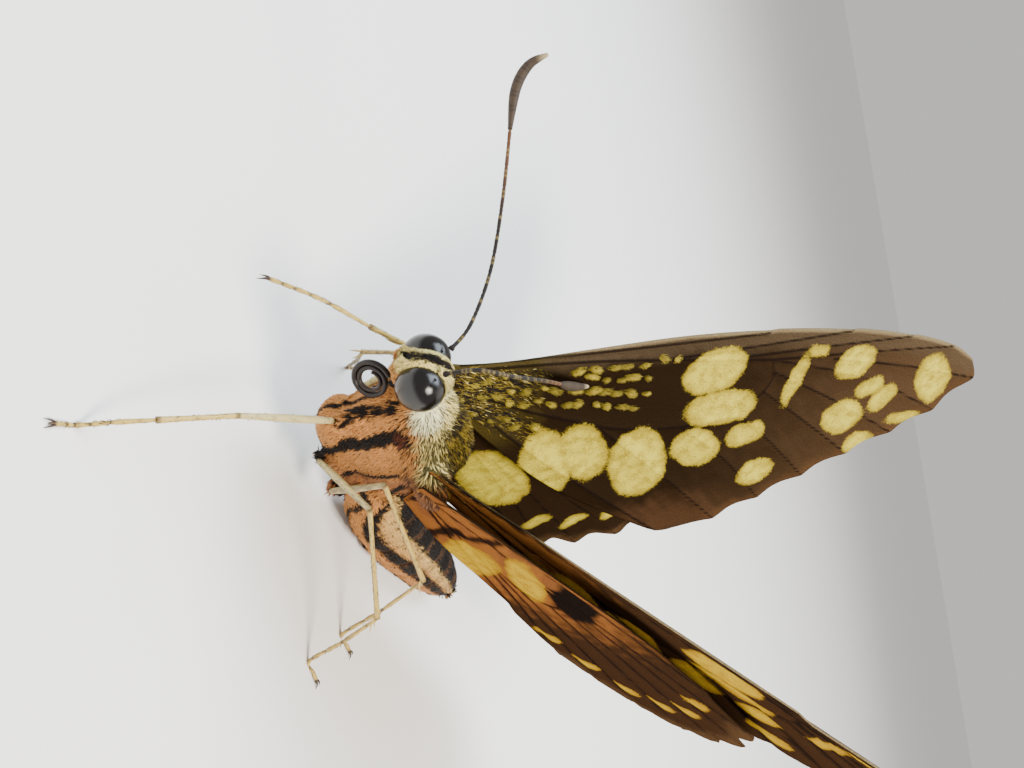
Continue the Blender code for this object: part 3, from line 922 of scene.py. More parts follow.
@dataclass(frozen=True)
class BodyMarkings:
    """Where each colour lies on head, thorax and abdomen; skin and tufts share it.

    Lines are in body axes, as distance back and height from the point between the eyes. The
    abdomen's bands are heights round its axis in degrees above the side. A pair named after a
    place holds the two distances between which one colour passes into the next.
    """

    edge: Flat = (0.1, -0.06)
    neck: Flat = (2.2, 1.8)
    nape: Flat = (0.6, 1.4)
    face_height: float = -1.2
    crown_stripe: float = 0.2
    collar: Flat = (2.5, 0.2)
    rear_flank: Flat = (7.4, 8.6)
    cream_end: Flat = (8.8, 7.6)
    back_start: Flat = (2.6, 3.4)
    cream_heights: Flat = (-0.35, 0.15)
    back_heights: Flat = (0.9, 1.5)
    knob: Flat = (3.6, -1.1)
    knob_radius: float = 0.52
    front_stripe: Stripe = Stripe(0.36, (
        (3.6, -1.2), (3.8, -2.0), (4.3, -2.9), (4.9, -4.0), (5.7, -5.1), (6.5, -6.0),
        (6.9, -6.8)))
    throat_stripe: Stripe = Stripe(0.14, (
        (2.3, -1.4), (2.7, -2.3), (3.1, -3.3), (3.1, -4.4), (3.7, -5.5)))
    rear_stripe: Stripe = Stripe(0.2, ((6.7, -0.2), (7.2, -1.7), (7.9, -3.7), (8.5, -5.4)))
    belly_stripe: Stripe = Stripe(0.4, ((6.4, -6.9), (8.4, -7.3), (10.5, -6.3), (12.4, -6.0)))
    flank_stripe: Stripe = Stripe(0.25, ((8.9, -1.2), (9.9, -2.2), (11.4, -3.0)))
    middle_line: float = 0.25
    back_line: float = 1.35
    axil: Flat = (8.2, 0.4)
    abdomen_start: float = 11.7
    abdomen_axis: tuple[Flat, ...] = ((10.15, 6.1), (12.9, 2.4), (20.0, 2.5), (27.8, 2.0))
    bands: tuple[Flat, ...] = ((90.0, 34.0), (18.0, 14.0), (-44.0, 9.0), (-90.0, 8.0))
    band_edge: Flat = (5.0, -4.0)
    cream_turn: Flat = (20.0, 50.0)
    seam_edge: Flat = (0.22, 0.05)
    ring_length: float = 2.25

    def colours(self, places: Array) -> Array:
        """The colour of each place in the frame.

        Args:
            places: Places in mm as rows.

        Returns:
            Red, green and blue as rows.
        """
        body = STANCE.to_body(places)
        rough = grain(places, 0.7, 3) * 0.5 + grain(places, 0.28, 4) * 0.5
        at = BodyPlaces(np.abs(body[:, 0]), body[:, 1], body[:, 2], rough)
        tone = self.thorax(at)
        rear = self.abdomen(places, rough)
        tone += (self.head(at) - tone) * eased(*self.neck, at.back)[:, None]
        return tone + (rear - tone) * eased(-0.25, 0.25, at.back - self.abdomen_start)[:, None]

    def head(self, at: BodyPlaces) -> Array:
        """Colours of the head: cream brow with a black stripe, peach face, white nape."""
        tone = plain(PALETTE.cream, len(at.side))
        face = eased(0.25, -0.25, at.height - self.face_height + at.rough * 0.2)
        tone = over(tone, eased(*self.nape, at.back) * 0.8, PALETTE.white)
        tone = over(tone, face, PALETTE.peach)
        stripe = eased(*self.edge, at.side - self.crown_stripe + at.rough * 0.12)
        return over(tone, stripe * (1.0 - face), PALETTE.black)

    def thorax(self, at: BodyPlaces) -> Array:
        """Colours of the thorax: peach sides with black stripes under cream and gold."""
        side, back, height, rough = at.side, at.back, at.height, at.rough
        flat = np.stack((back, height), axis=1)
        tone = plain(PALETTE.peach, len(side))
        tone = over(tone, eased(*self.rear_flank, back + rough * 0.3), PALETTE.pink)
        cream = eased(*self.cream_heights, height + rough * 0.35)
        tone = over(tone, cream * eased(*self.cream_end, back), PALETTE.cream)
        collar = eased(0.9, 0.3, np.hypot(back - self.collar[0], height - self.collar[1]))
        tone = over(tone, collar, PALETTE.white)
        for stripe in (self.front_stripe, self.throat_stripe, self.rear_stripe,
                       self.belly_stripe, self.flank_stripe):
            dark = eased(*self.edge, stripe.beyond(flat) + rough * 0.14)
            tone = over(tone, dark * (side > 0.5), PALETTE.black)
        knob = np.hypot(back - self.knob[0], height - self.knob[1]) - self.knob_radius
        tone = over(tone, eased(0.2, 0.08, knob), PALETTE.black)
        tone = over(tone, eased(-0.02, -0.14, knob), PALETTE.chestnut)
        middle = eased(self.middle_line, 0.1, side + rough * 0.1) * (height < -3.0)
        tone = over(tone, middle, PALETTE.black)
        upper = eased(*self.back_heights, height + rough * 0.5)
        upper = upper * eased(*self.back_start, back)
        tone = over(tone, upper, PALETTE.black)
        axil = np.hypot(back - self.axil[0], height * 1.3 - self.axil[1])
        tone = over(tone, eased(2.3, 1.5, axil) * (side > 2.2), PALETTE.pink)
        line = eased(0.3, 0.1, np.abs(side - self.back_line) + rough * 0.15) * upper
        return over(tone, line * 0.7, PALETTE.gold)

    def axis_height(self, places: Array) -> Array:
        """Height of the abdomen's axis above the floor at each place."""
        path = smooth_path(self.abdomen_axis, 6)
        return np.interp(places[:, 1] - STANCE.eyes[1], path[:, 0], path[:, 1])

    def turn(self, places: Array) -> Array:
        """Degrees above the side, round the abdomen's axis."""
        rise = places[:, 2] - self.axis_height(places)
        return np.degrees(np.arctan2(rise, np.abs(places[:, 0])))

    def abdomen(self, places: Array, rough: Array) -> Array:
        """Colours of the abdomen: peach and cream with lengthwise black bands."""
        turn = self.turn(places)
        tone = plain(PALETTE.peach, len(places))
        tone = over(tone, eased(*self.cream_turn, turn) * 0.4, PALETTE.cream)
        for middle, half in self.bands:
            dark = eased(*self.band_edge, np.abs(turn - middle) - half + rough * 5.0)
            tone = over(tone, dark, PALETTE.black)
        reach = (places[:, 1] - STANCE.eyes[1]) / self.ring_length
        seam = np.abs(reach - np.rint(reach)) * self.ring_length
        return over(tone, eased(*self.seam_edge, seam + rough * 0.1) * 0.6, PALETTE.brown)


MARKINGS = BodyMarkings()


def body_unwrap(places: Array) -> Array:
    """Places on the body's unwrap: turn round its axis, and distance along it."""
    body = STANCE.to_body(places)
    level = places[:, 1] - STANCE.eyes[1]
    rear = eased(9.0, 12.0, level)
    axis = (1.0 - rear) * np.interp(body[:, 1], (0.0, 3.0, 11.0), (0.0, -1.5, -2.5))
    rise = body[:, 2] * (1.0 - rear) - axis
    rise += (places[:, 2] - MARKINGS.axis_height(places)) * rear
    turn = np.arctan2(body[:, 0], -rise) / math.tau
    return np.stack((0.5 + turn * 0.98, 0.06 + 0.88 * (level + 3.0) / 33.0), axis=1)


@dataclass
class BodySkin:
    """One closed skin over head, palps, thorax, hips and abdomen.

    The swellings are balls, by centre and half sizes in body axes, that fill it out; drawn_in is
    the hip that lies inside the chest; bridge is how far the solids grow until they meet.
    """

    solids: tuple[str, ...] = ("head", "palp_left", "palp_right", "prothorax", "mesothorax",
                               "metathorax", "abdomen_front", "abdomen_middle", "abdomen_rear",
                               "abdomen_tip")
    swellings: tuple[tuple[Point, Point], ...] = (
        ((0.0, 0.15, 0.0), (1.5, 1.9, 2.0)), ((2.8, 7.9, 0.35), (1.3, 2.1, 1.1)),
        ((-2.8, 7.9, 0.35), (1.3, 2.1, 1.1)), ((0.0, 6.2, -5.8), (2.0, 2.3, 1.8)),
        ((0.0, 8.4, -5.2), (2.4, 2.2, 1.8)), ((1.2, 8.9, -5.7), (1.3, 1.6, 1.2)),
        ((-1.2, 8.9, -5.7), (1.3, 1.6, 1.2)))
    drawn_in: str = "leg_front_right_coxa"
    bridge: float = 0.34
    voxel: float = 0.12
    coat_depth: float = 0.2
    ring_depth: float = 0.1
    floor_gap: float = 0.02
    shade: float = 0.85
    finish: SkinFinish = field(default_factory=SkinFinish)

    def nodes(self, frame: dict) -> list[str]:
        """The solids that the skin stands for."""
        return [*self.solids, *(name for name in sorted(frame["nodes"]) if "_coxa" in name)]

    def build(self, frame: dict) -> bpy.types.Object:
        """Grows copies of the solids together and draws the skin in by the coat's depth.

        Args:
            frame: The frame.

        Returns:
            The skin.
        """
        nodes = self.nodes(frame)
        copies = []
        for name in nodes:
            if name != self.drawn_in:
                copies.append(linked(name + "_copy", frame["nodes"][name].data.copy()))
        for centre, radii in self.swellings:
            bpy.ops.object.select_all(action="DESELECT")
            bpy.ops.mesh.primitive_uv_sphere_add(segments=48, ring_count=24, radius=1.0)
            copies.append(bpy.context.object)
            centred = places_of(copies[-1]) * MM * np.array(radii) + np.array(centre)
            put_places(copies[-1], STANCE.from_body(centred))
        skin = joined("body_skin", copies)
        skin.data.materials.clear()
        bpy.ops.object.mode_set(mode="EDIT")
        bpy.ops.mesh.select_all(action="SELECT")
        bpy.ops.mesh.remove_doubles(threshold=0.001 * MM)
        bpy.ops.object.mode_set(mode="OBJECT")
        apply_modifier(skin, "DISPLACE", strength=self.bridge * MM, mid_level=0.0)
        apply_modifier(skin, "REMESH", mode="VOXEL", voxel_size=self.voxel * MM)
        apply_modifier(skin, "SMOOTH", factor=0.5, iterations=10)
        self.shape(skin)
        self.dress(skin)
        return finished(skin, "body_skin", "thorax_fur", nodes, self.finish.material())

    def shape(self, skin: bpy.types.Object) -> None:
        """Draws the skin in, and the abdomen a little more between its rings."""
        places, normals = places_of(skin), vertex_rows(skin, "normal")
        reach = (places[:, 1] - STANCE.eyes[1]) / MARKINGS.ring_length
        seam = np.abs(reach - np.rint(reach)) * MARKINGS.ring_length
        rear = eased(0.0, 1.0, STANCE.to_body(places)[:, 1] - MARKINGS.abdomen_start)
        depth = self.bridge + self.coat_depth + self.ring_depth * eased(0.35, 0.0, seam) * rear
        places -= normals * depth[:, None]
        places[:, 2] = np.maximum(places[:, 2], self.floor_gap)
        put_places(skin, places)

    def dress(self, skin: bpy.types.Object) -> None:
        """Paints the markings and lays the unwrap on the skin."""
        places = places_of(skin)
        paint(skin, "Marking", MARKINGS.colours(places) * self.shade)
        lay_map(skin, "Unwrap", body_unwrap(places))


@dataclass
class BodyCoat:
    """Hair and scales over the body, in pieces of less than 20,000 tufts."""

    finish: CoatFinish = field(default_factory=lambda: CoatFinish("body_hair"))
    face_hair: Tufts = Tufts(0.32, 0.04, 0.025, 0.1, 0.2)
    side_hair: Tufts = Tufts(0.42, 0.05, 0.025, 0.08, 0.14)
    back_hair: Tufts = Tufts(0.75, 0.05, 0.03, 0.24, 0.2)
    nape_hair: Tufts = Tufts(0.75, 0.045, 0.03, 0.28, 0.26)
    flat_scale: Tufts = Tufts(0.36, 0.07, 0.02, 0.05, 0.1)
    floor_gap: float = 0.01

    @staticmethod
    def lies(roots: Array) -> Array:
        """The way the hair lies at each root: back over head and thorax, down the flanks."""
        body = STANCE.to_body(roots)
        side, back, height = body.T
        flank = eased(1.2, -1.5, height)
        face = eased(1.2, 0.2, back) * eased(-0.2, -1.0, height)
        lie = np.stack((side * 0.05, 1.0 - 0.3 * flank, -0.75 * flank), axis=1)
        lie += np.array((0.0, -0.9, -1.1)) * face[:, None]
        crown = eased(1.0, 0.0, back) * (1.0 - face)
        lie += np.stack((np.sign(side) * 0.3, np.zeros(len(side)), 0.8 + 0.0 * side),
                        axis=1) * crown[:, None]
        level = unit(lie) @ STANCE.turn().T
        rear = eased(0.0, 1.5, back - MARKINGS.abdomen_start)[:, None]
        return unit(level * (1.0 - rear) + np.array((0.0, 1.0, 0.0)) * rear)

    def piece(self, name: str, skin: bpy.types.Object, kind: Tufts, count: int, seed: int,
              wanted: Callable[[Array, Array], Array], slot: str,
              speckle: float = 0.15, golden: float = 0.0) -> bpy.types.Object:
        """One piece of the coat.

        Args:
            name: Its name.
            skin: The skin that it grows on.
            kind: Its tufts.
            count: Their number.
            seed: Number that sets their places.
            wanted: How dense they are, from places in body axes and normals.
            slot: The material slot.
            speckle: Share of tufts that are dark.
            golden: Share of golden tufts on the dark back.

        Returns:
            The piece.
        """
        roots, normals = scattered(skin, count, seed, lambda places, facing: wanted(
            STANCE.to_body(places), facing))
        tone = MARKINGS.colours(roots)
        chance = np.random.default_rng(seed + 50).uniform(size=count)
        _, reach, height = STANCE.to_body(roots).T
        mottled = 1.0 + 1.2 * eased(2.8, 3.6, reach) * eased(-0.1, 0.4, height)
        tone = over(tone, (chance < speckle * mottled) * 0.85, PALETTE.black)
        back = eased(*MARKINGS.back_heights, height)
        bright = np.random.default_rng(seed + 90).uniform(0.4, 1.3, (count, 1))
        tone = np.where((chance > 1.0 - golden * back)[:, None],
                        np.array(PALETTE.gold) * bright, tone)
        coat = MAKER.lay(kind, roots, normals, self.lies(roots), tone, body_unwrap(roots), seed)
        keep_above(coat, self.floor_gap)
        return finished(coat, name, slot, (), self.finish.material())

    @staticmethod
    def clear_of_eyes(body: Array) -> Array:
        """1 where a place in body axes lies outside the eyes, and 0 inside them."""
        eye = Eyes()
        offset = body - np.sign(body[:, :1]) * np.array((eye.offset, 0.0, 0.0))
        reach = np.linalg.norm(offset / np.array(eye.half_sizes), axis=1)
        return (reach > 1.0) * 1.0

    def build(self, skin: bpy.types.Object) -> None:
        """Covers the skin from head to tail.

        Args:
            skin: The body's skin.
        """
        start = MARKINGS.abdomen_start
        self.piece("head_hair", skin, self.face_hair, 15000, 11,
                   lambda body, facing: (body[:, 1] < 2.4) * self.clear_of_eyes(body), "head_fur")
        self.piece("nape_hair", skin, self.nape_hair, 2600, 12,
                   lambda body, facing: (eased(1.3, 2.0, body[:, 1]) * eased(4.2, 3.2, body[:, 1])
                                         * eased(-0.8, 0.2, body[:, 2])
                                         * self.clear_of_eyes(body)), "thorax_fur", 0.3)
        self.piece("thorax_hair_upper", skin, self.back_hair, 16000, 13,
                   lambda body, facing: ((body[:, 1] > 2.2) * (body[:, 1] < start + 0.4)
                                         * eased(-1.4, -0.6, body[:, 2])), "thorax_fur", 0.3,
                   0.5)
        self.piece("thorax_hair_lower", skin, self.side_hair, 19000, 14,
                   lambda body, facing: ((body[:, 1] > 1.9) * (body[:, 1] < start + 0.4)
                                         * eased(-0.6, -1.4, body[:, 2])), "thorax_fur", 0.05)
        self.piece("abdomen_scales", skin, self.flat_scale, 19500, 15,
                   lambda body, facing: (body[:, 1] > start - 0.3) * 1.0, "abdomen_fur", 0.05)


# ---------------------------------------------------------------- wings


@dataclass(frozen=True)
class Spot:
    """A scale spot in a wing's plane, in mm, with the tilt of its long axis in degrees."""

    centre: Flat
    half_length: float
    half_width: float
    tilt: float = 0.0
    fullness: float = 2.3

    def depth(self, flat: Array) -> Array:
        """How far inside the spot's edge each place lies, below 0 outside."""
        tilt = math.radians(self.tilt)
        axis = np.array((math.cos(tilt), math.sin(tilt)))
        offset = flat - np.array(self.centre)
        local = np.abs(np.stack((offset @ axis / self.half_length,
                                 offset @ np.array((-axis[1], axis[0])) / self.half_width)))
        reach = np.sum(local ** self.fullness, axis=0) ** (1.0 / self.fullness)
        return (1.0 - reach) * self.half_width


def polar(points: Sequence[Flat]) -> Array:
    """Flat places from degrees behind the front edge and distances from the root."""
    rows = np.asarray(points, float)
    angle = np.radians(rows[:, 0])
    return np.stack((np.cos(angle), np.sin(angle)), axis=1) * rows[:, 1:]


@dataclass(frozen=True)
class WingPlane:
    """The cambered plane that a wing lies in."""

    root: Array
    span: Array
    across: Array
    upper: Array
    camber: float
    camber_line: float
    side: Side

    def places(self, plane: Array, rise: Array | float = 0.0) -> Array:
        """Places in the frame from places in the plane, raised towards the upper face."""
        hollow = self.camber * (plane[:, 1] - self.camber_line) ** 2
        spots = (self.root + plane[:, :1] * self.span + plane[:, 1:2] * self.across
                 - self.upper * (hollow - rise)[:, None])
        spots[:, 0] *= self.side.value
        return STANCE.standing(spots)

    def direction(self, flat: Array) -> Array:
        """Directions in the frame from directions in the plane."""
        turned = flat[:, :1] * self.span + flat[:, 1:2] * self.across
        turned[:, 0] *= self.side.value
        return turned

    def facing(self) -> Array:
        """The upper face's normal in the frame."""
        return self.upper * np.array((self.side.value, 1.0, 1.0))


@dataclass(frozen=True)
class WingRig:
    """How the two pairs of wings are held."""

    fore_root: Point = (3.4, 4.74, 12.2)
    hind_root: Point = (2.95, 8.2, 10.0)
    span: Point = (0.374, 0.661, 0.650)
    front: Point = (0.356, -0.750, 0.557)
    fore_camber: Flat = (0.0035, -7.0)
    hind_camber: Flat = (0.0006, 12.0)
    flare_line: float = -3.0
    lifts: Flat = (1.2, 0.3)
    flares: Flat = (3.0, 15.0)

    def planes(self, side: Side) -> tuple[WingPlane, WingPlane]:
        """The planes of the fore and the hind wing on one side.

        Args:
            side: The side.

        Returns:
            The fore wing's plane and the hind wing's.
        """
        index = 0 if side is Side.LEFT else 1
        lift, flare = math.radians(self.lifts[index]), math.radians(self.flares[index])
        level = unit(np.array(self.span))
        front = np.array(self.front)
        front = unit(front - level * front.dot(level))
        span = level * math.cos(lift) - np.cross(level, front) * math.sin(lift)
        out = np.cross(span, front)
        rear = out * math.sin(flare) - front * math.cos(flare)
        pivot = -(front + rear) * self.flare_line
        hind_out = np.cross(span, rear)
        hind_out = unit(hind_out if hind_out[0] > 0.0 else -hind_out)
        fore = WingPlane(np.array(self.fore_root), span, front, -unit(out),
                         *self.fore_camber, side)
        hind = WingPlane(np.array(self.hind_root) + pivot, span, rear, -hind_out,
                         *self.hind_camber, side)
        return fore, hind


@dataclass
class Wing:
    """A wing's outline, veins and markings in its own plane, in mm.

    The outer edge is drawn in by the notch between the tips of its veins; each vein stands up as
    a ridge, and the field between two veins sinks by the pleat.
    """

    front_edge: Array
    tips: Array
    rear_edge: Array
    notch: float
    veins: list[Array]
    upper_spots: tuple[Spot, ...]
    under_spots: tuple[Spot, ...]
    cells: tuple[int, int] = (230, 112)
    thickness: float = 0.11
    ridge: float = 0.1
    ridge_width: float = 0.34
    pleat: float = 0.12

    def outer_edge(self) -> Array:
        """The outer edge from the rear to the front, notched between the veins."""
        edge = [self.tips[0]]
        for first, second in zip(self.tips, self.tips[1:]):
            middle = (first + second) / 2.0
            edge += [middle - unit(middle) * self.notch, second]
        whole = smooth_path([self.front_edge[-1], *edge, self.rear_edge[0]], 8)
        return stations(whole, self.cells[1])[::-1]

    def grid_places(self, shares: Array) -> Array:
        """Places in the wing's plane from shares along it and across it.

        Args:
            shares: Rows of share from root to outer edge and from rear to front.

        Returns:
            The places.
        """
        along_count, across_count = self.cells
        front = stations(smooth_path(self.front_edge, 8), along_count)
        rear = stations(smooth_path(self.rear_edge[::-1], 8), along_count)
        outer = self.outer_edge()
        inner = np.linspace(rear[0], front[0], across_count)
        column = np.rint(shares[:, 0] * (along_count - 1)).astype(int)
        row = np.rint(shares[:, 1] * (across_count - 1)).astype(int)
        s, t = shares[:, :1], shares[:, 1:]
        corners = ((1 - s) * (1 - t) * rear[0] + s * (1 - t) * rear[-1]
                   + (1 - s) * t * front[0] + s * t * front[-1])
        return ((1 - t) * rear[column] + t * front[column] + (1 - s) * inner[row]
                + s * outer[row] - corners)

    def bow(self, flat: Array) -> Array:
        """How far each flat place is bent towards the upper face."""
        return 0.0 * flat[:, 0]

    def vein_distance(self, flat: Array) -> Array:
        """Distance to the nearest vein."""
        return np.min([line_distance(flat, vein) for vein in self.veins], axis=0)

    def rim_distance(self, flat: Array) -> Array:
        """Distance to the outer edge."""
        return line_distance(flat, self.tips)

    def sheet(self, plane: WingPlane) -> tuple[bpy.types.Object, Array]:
        """The wing as a grid laid on its plane and given a thickness.

        Args:
            plane: The plane.

        Returns:
            The wing and the flat place of each vertex.
        """
        bpy.ops.object.select_all(action="DESELECT")
        bpy.ops.mesh.primitive_grid_add(x_subdivisions=self.cells[0] - 1,
                                        y_subdivisions=self.cells[1] - 1, size=1.0)
        obj = bpy.context.object
        flat = self.grid_places(places_of(obj)[:, :2] * MM + 0.5)
        near = self.vein_distance(flat)
        rise = (self.ridge * np.exp(-(near / self.ridge_width) ** 2)
                - self.pleat * eased(0.2, 1.6, near) + self.bow(flat))
        put_places(obj, plane.places(flat, rise))
        note(obj, "Plane", np.concatenate((flat, np.zeros((len(flat), 1))), axis=1))
        note(obj, "Vein", near)
        facing = np.zeros(len(obj.data.polygons) * 3)
        obj.data.polygons.foreach_get("normal", facing)
        if facing.reshape(-1, 3).mean(axis=0).dot(plane.facing()) < 0.0:
            obj.data.flip_normals()
        return obj, flat

    def ground(self, flat: Array) -> tuple[Array, Array, Array]:
        """The colours between the spots.

        Args:
            flat: Places in the wing's plane.

        Returns:
            Upper colours, under colours and dust of golden scales.
        """
        raise NotImplementedError

    def build(self, name: str, plane: WingPlane,
              finishes: Sequence[WingFinish]) -> bpy.types.Object:
        """Builds and dresses the wing.

        Args:
            name: The CAD node that it stands for.
            plane: The plane that it lies in.
            finishes: The finishes of its upper and under face.

        Returns:
            The wing.
        """
        obj, flat = self.sheet(plane)
        upper, under, dust = self.ground(flat)
        paint(obj, "Upper", upper)
        paint(obj, "Under", under)
        note(obj, "Dust", dust)
        for label, spots in (("UpperSpots", self.upper_spots), ("UnderSpots", self.under_spots)):
            note(obj, label, np.max([spot.depth(flat) for spot in spots], axis=0))
        for finish in finishes:
            obj.data.materials.append(finish.material())
        apply_modifier(obj, "SOLIDIFY", thickness=self.thickness * MM, offset=0.0,
                       material_offset=1, use_even_offset=False)
        return finished(obj, name + "_scaled", "wing_scales", (name,),
                        *obj.data.materials)


class ForeWing(Wing):
    """The fore wing, with the colours that lie between its spots."""

    brown_black: Colour = (0.014, 0.008, 0.004)
    outer_brown: Colour = (0.06, 0.034, 0.017)
    bronze: Colour = (0.065, 0.045, 0.026)
    pale_edge: Colour = (0.2, 0.15, 0.08)
    rim_brown: Colour = (0.07, 0.035, 0.015)
    warm_corner: Colour = (0.075, 0.037, 0.018)
    corner: Flat = (24.0, -15.2)
    olive_root: Colour = (0.05, 0.037, 0.009)
    under_root: Colour = (0.26, 0.1, 0.025)
    under_outer: Colour = (0.022, 0.012, 0.007)

    def ground(self, flat: Array) -> tuple[Array, Array, Array]:
        """Brown-black with bronze along the front edge, warmer and paler outside."""
        reach, height = flat.T
        rough = grain(flat, 3.0, 21) * 0.5 + grain(flat, 1.1, 22) * 0.5
        upper = plain(self.brown_black, len(flat))
        upper = over(upper, eased(20.0, 46.0, reach + rough * 2.0) * 0.8, self.outer_brown)
        edge = np.interp(reach, self.front_edge[:, 0], self.front_edge[:, 1]) - height
        strip = eased(2.4, 0.6, edge + rough * 0.3)
        upper = over(upper, strip * 0.7, self.bronze)
        upper = over(upper, eased(0.3, 0.08, edge) * 0.7, self.pale_edge)
        rim = self.rim_distance(flat)
        upper = over(upper, eased(1.6, 0.2, rim + rough * 0.5) * 0.6, self.rim_brown)
        rear = np.hypot(reach - self.corner[0], (height - self.corner[1]) * 2.2) / 2.4
        upper = over(upper, eased(4.0, 0.8, rear + rough) * 0.5, self.warm_corner)
        root = eased(9.0, 5.0, reach + rough) * eased(-7.0, -4.5, height)
        upper = over(upper, root * 0.8, self.olive_root)
        near = self.vein_distance(flat)
        under = plain(self.under_root, len(flat))
        under = over(under, eased(6.5, 15.0, reach + rough * 2.0) * 0.95, self.under_outer)
        under = over(under, eased(0.5, 0.15, near + rough * 0.3) * 0.8, PALETTE.black)
        under = over(under, eased(0.25, 0.1, edge + rough * 0.3), PALETTE.black)
        cell = eased(26.0, 18.0, reach) * eased(-5.4, -4.4, height) * eased(1.6, 0.8, height)
        dust = 0.2 * cell * eased(0.5, 4.0, reach) + 0.05 + 0.07 * strip
        return upper, under, dust


class HindWing(Wing):
    """The hind wing, whose front edge curls away from the fore wing."""

    brown_black: Colour = (0.018, 0.01, 0.005)
    rim_brown: Colour = (0.1, 0.055, 0.025)
    under_root: Colour = (0.2, 0.075, 0.02)
    under_blotch: Colour = (0.12, 0.045, 0.02)
    under_outer: Colour = (0.022, 0.012, 0.007)
    dust: float = 0.06
    curl_line: float = -1.5
    curl: float = 0.03
    eye_spot: Spot = Spot((12.3, 1.2), 4.4, 1.8, 80.0)
    streaks: tuple[Stripe, ...] = (
        Stripe(0.42, ((3.8, 2.5), (5.1, 0.1), (6.4, -3.8))),
        Stripe(0.5, ((1.4, 9.7), (2.5, 6.2), (3.5, 1.9))),
        Stripe(0.14, ((-0.8, 3.3), (0.3, -0.5), (1.4, -2.3), (2.1, -5.2))),
        Stripe(0.3, ((4.2, -6.2), (6.2, -5.9), (9.2, -5.6), (12.0, -5.0))))

    def bow(self, flat: Array) -> Array:
        """The curl of the front edge towards the under face."""
        return -self.curl * np.maximum(self.curl_line - flat[:, 1], 0.0) ** 2

    def ground(self, flat: Array) -> tuple[Array, Array, Array]:
        """Brown-black above; peach at the root below, darker outwards."""
        reach = np.hypot(*flat.T)
        rough = grain(flat, 2.6, 31) * 0.5 + grain(flat, 1.0, 32) * 0.5
        rim = self.rim_distance(flat)
        upper = plain(self.brown_black, len(flat))
        upper = over(upper, eased(1.8, 0.3, rim + rough * 0.4) * 0.5, self.rim_brown)
        near = self.vein_distance(flat)
        under = plain(self.under_root, len(flat))
        under = over(under, eased(0.2, 0.7, grain(flat, 2.2, 33)) * 0.45, self.under_blotch)
        under = over(under, eased(12.5, 19.0, reach + rough * 2.0) * 0.94, self.under_outer)
        under = over(under, eased(0.3, 0.1, near + rough * 0.12) * 0.85, PALETTE.black)
        for streak in self.streaks:
            dark = eased(0.3, -0.2, streak.beyond(flat) + rough * 0.3)
            under = over(under, dark * 0.95, PALETTE.black)
        under = over(under, eased(-0.2, 0.4, self.eye_spot.depth(flat) + rough * 0.3),
                     PALETTE.black)
        under = over(under, eased(2.6, 0.6, rim + rough * 0.6) * 0.5, self.rim_brown)
        return upper, under, np.full(len(flat), self.dust)


def fore_wing(side: Side) -> ForeWing:
    """The fore wing with its cream spots.

    Args:
        side: The side; the left wing's rear root edge lies spread, the right one's folded.

    Returns:
        The wing.
    """
    front = np.array(((0.3, 0.9), (4.1, 1.1), (10.6, 2.1), (18.2, 3.2), (25.5, 3.8), (33.7, 4.0),
                      (40.4, 3.6), (45.8, 2.7), (49.1, 1.3)))
    tips = np.array(((50.3, -0.6), (47.4, -4.0), (43.7, -6.3), (39.8, -8.5), (36.0, -10.8),
                     (32.3, -13.1), (28.6, -15.3)))
    root = (((10.1, -10.0), (5.3, -7.4), (1.6, -4.4), (0.3, -2.0)) if side is Side.LEFT
            else ((10.1, -9.7), (5.3, -6.1), (1.6, -2.9), (0.3, -1.2)))
    rear = np.array(((25.2, -16.1), (23.0, -16.2), (15.3, -12.7), *root))
    upper_cell = ((0.5, 0.4), (12.0, 1.2), (26.8, 1.3))
    lower_cell = ((0.4, -0.4), (5.5, -2.5), (10.9, -3.9), (15.3, -4.8), (20.7, -4.8),
                  (25.9, -3.9))
    close = ((26.8, 1.3), (27.6, -0.4), (26.9, -2.4), (25.9, -3.9))
    branches = (((1.0, 0.9), (12.0, 2.0), (25.5, 3.6)), ((17.0, 1.3), (25.0, 2.5), (33.7, 3.9)),
                ((22.0, 1.3), (31.0, 2.4), (40.4, 3.5)), ((26.8, 1.3), (36.0, 2.0), (45.8, 2.6)),
                ((33.0, 1.4), (42.0, 0.6), tips[0]), ((26.8, 1.3), (38.0, -0.6), tips[1]),
                ((27.4, 0.2), (35.0, -2.6), tips[2]), ((27.2, -1.6), (33.0, -4.7), tips[3]),
                ((25.9, -3.9), (30.5, -6.8), tips[4]), ((20.7, -4.8), (26.5, -8.4), tips[5]),
                ((12.8, -4.3), (21.0, -9.8), tips[6]), ((0.6, -0.9), (9.0, -7.2), rear[1]))
    veins = [smooth_path(points, 6)
             for points in (upper_cell, lower_cell, close, *branches)]
    spots = (Spot((9.9, -8.2), 3.7, 1.9, -66.0), Spot((12.9, -7.0), 3.1, 1.75, -53.0),
             Spot((18.2, -8.4), 3.8, 2.4, -61.0), Spot((23.1, -7.1), 2.5, 1.7, -31.0),
             Spot((27.5, -5.9), 1.7, 1.3, 11.0), Spot((21.9, 0.2), 2.7, 2.1, 11.0),
             Spot((23.9, -3.2), 3.2, 1.6, 5.0), Spot((30.0, -0.6), 2.3, 0.75, 88.0),
             Spot((31.0, 2.1), 1.0, 0.5, 0.0), Spot((35.5, 1.0), 1.9, 1.6, 4.0),
             Spot((38.5, -1.5), 1.35, 1.0, 19.0), Spot((40.6, -2.6), 1.45, 1.2, 73.0),
             Spot((37.1, -4.5), 2.2, 1.7, -23.0), Spot((40.6, -7.4), 1.6, 1.2, -8.0),
             Spot((30.6, -10.1), 1.8, 1.4, 0.0), Spot((45.4, -0.7), 2.8, 1.7, -49.0),
             Spot((44.5, -4.8), 1.9, 0.6, 5.0))
    return ForeWing(front, tips, rear, 0.35, veins, spots, spots)


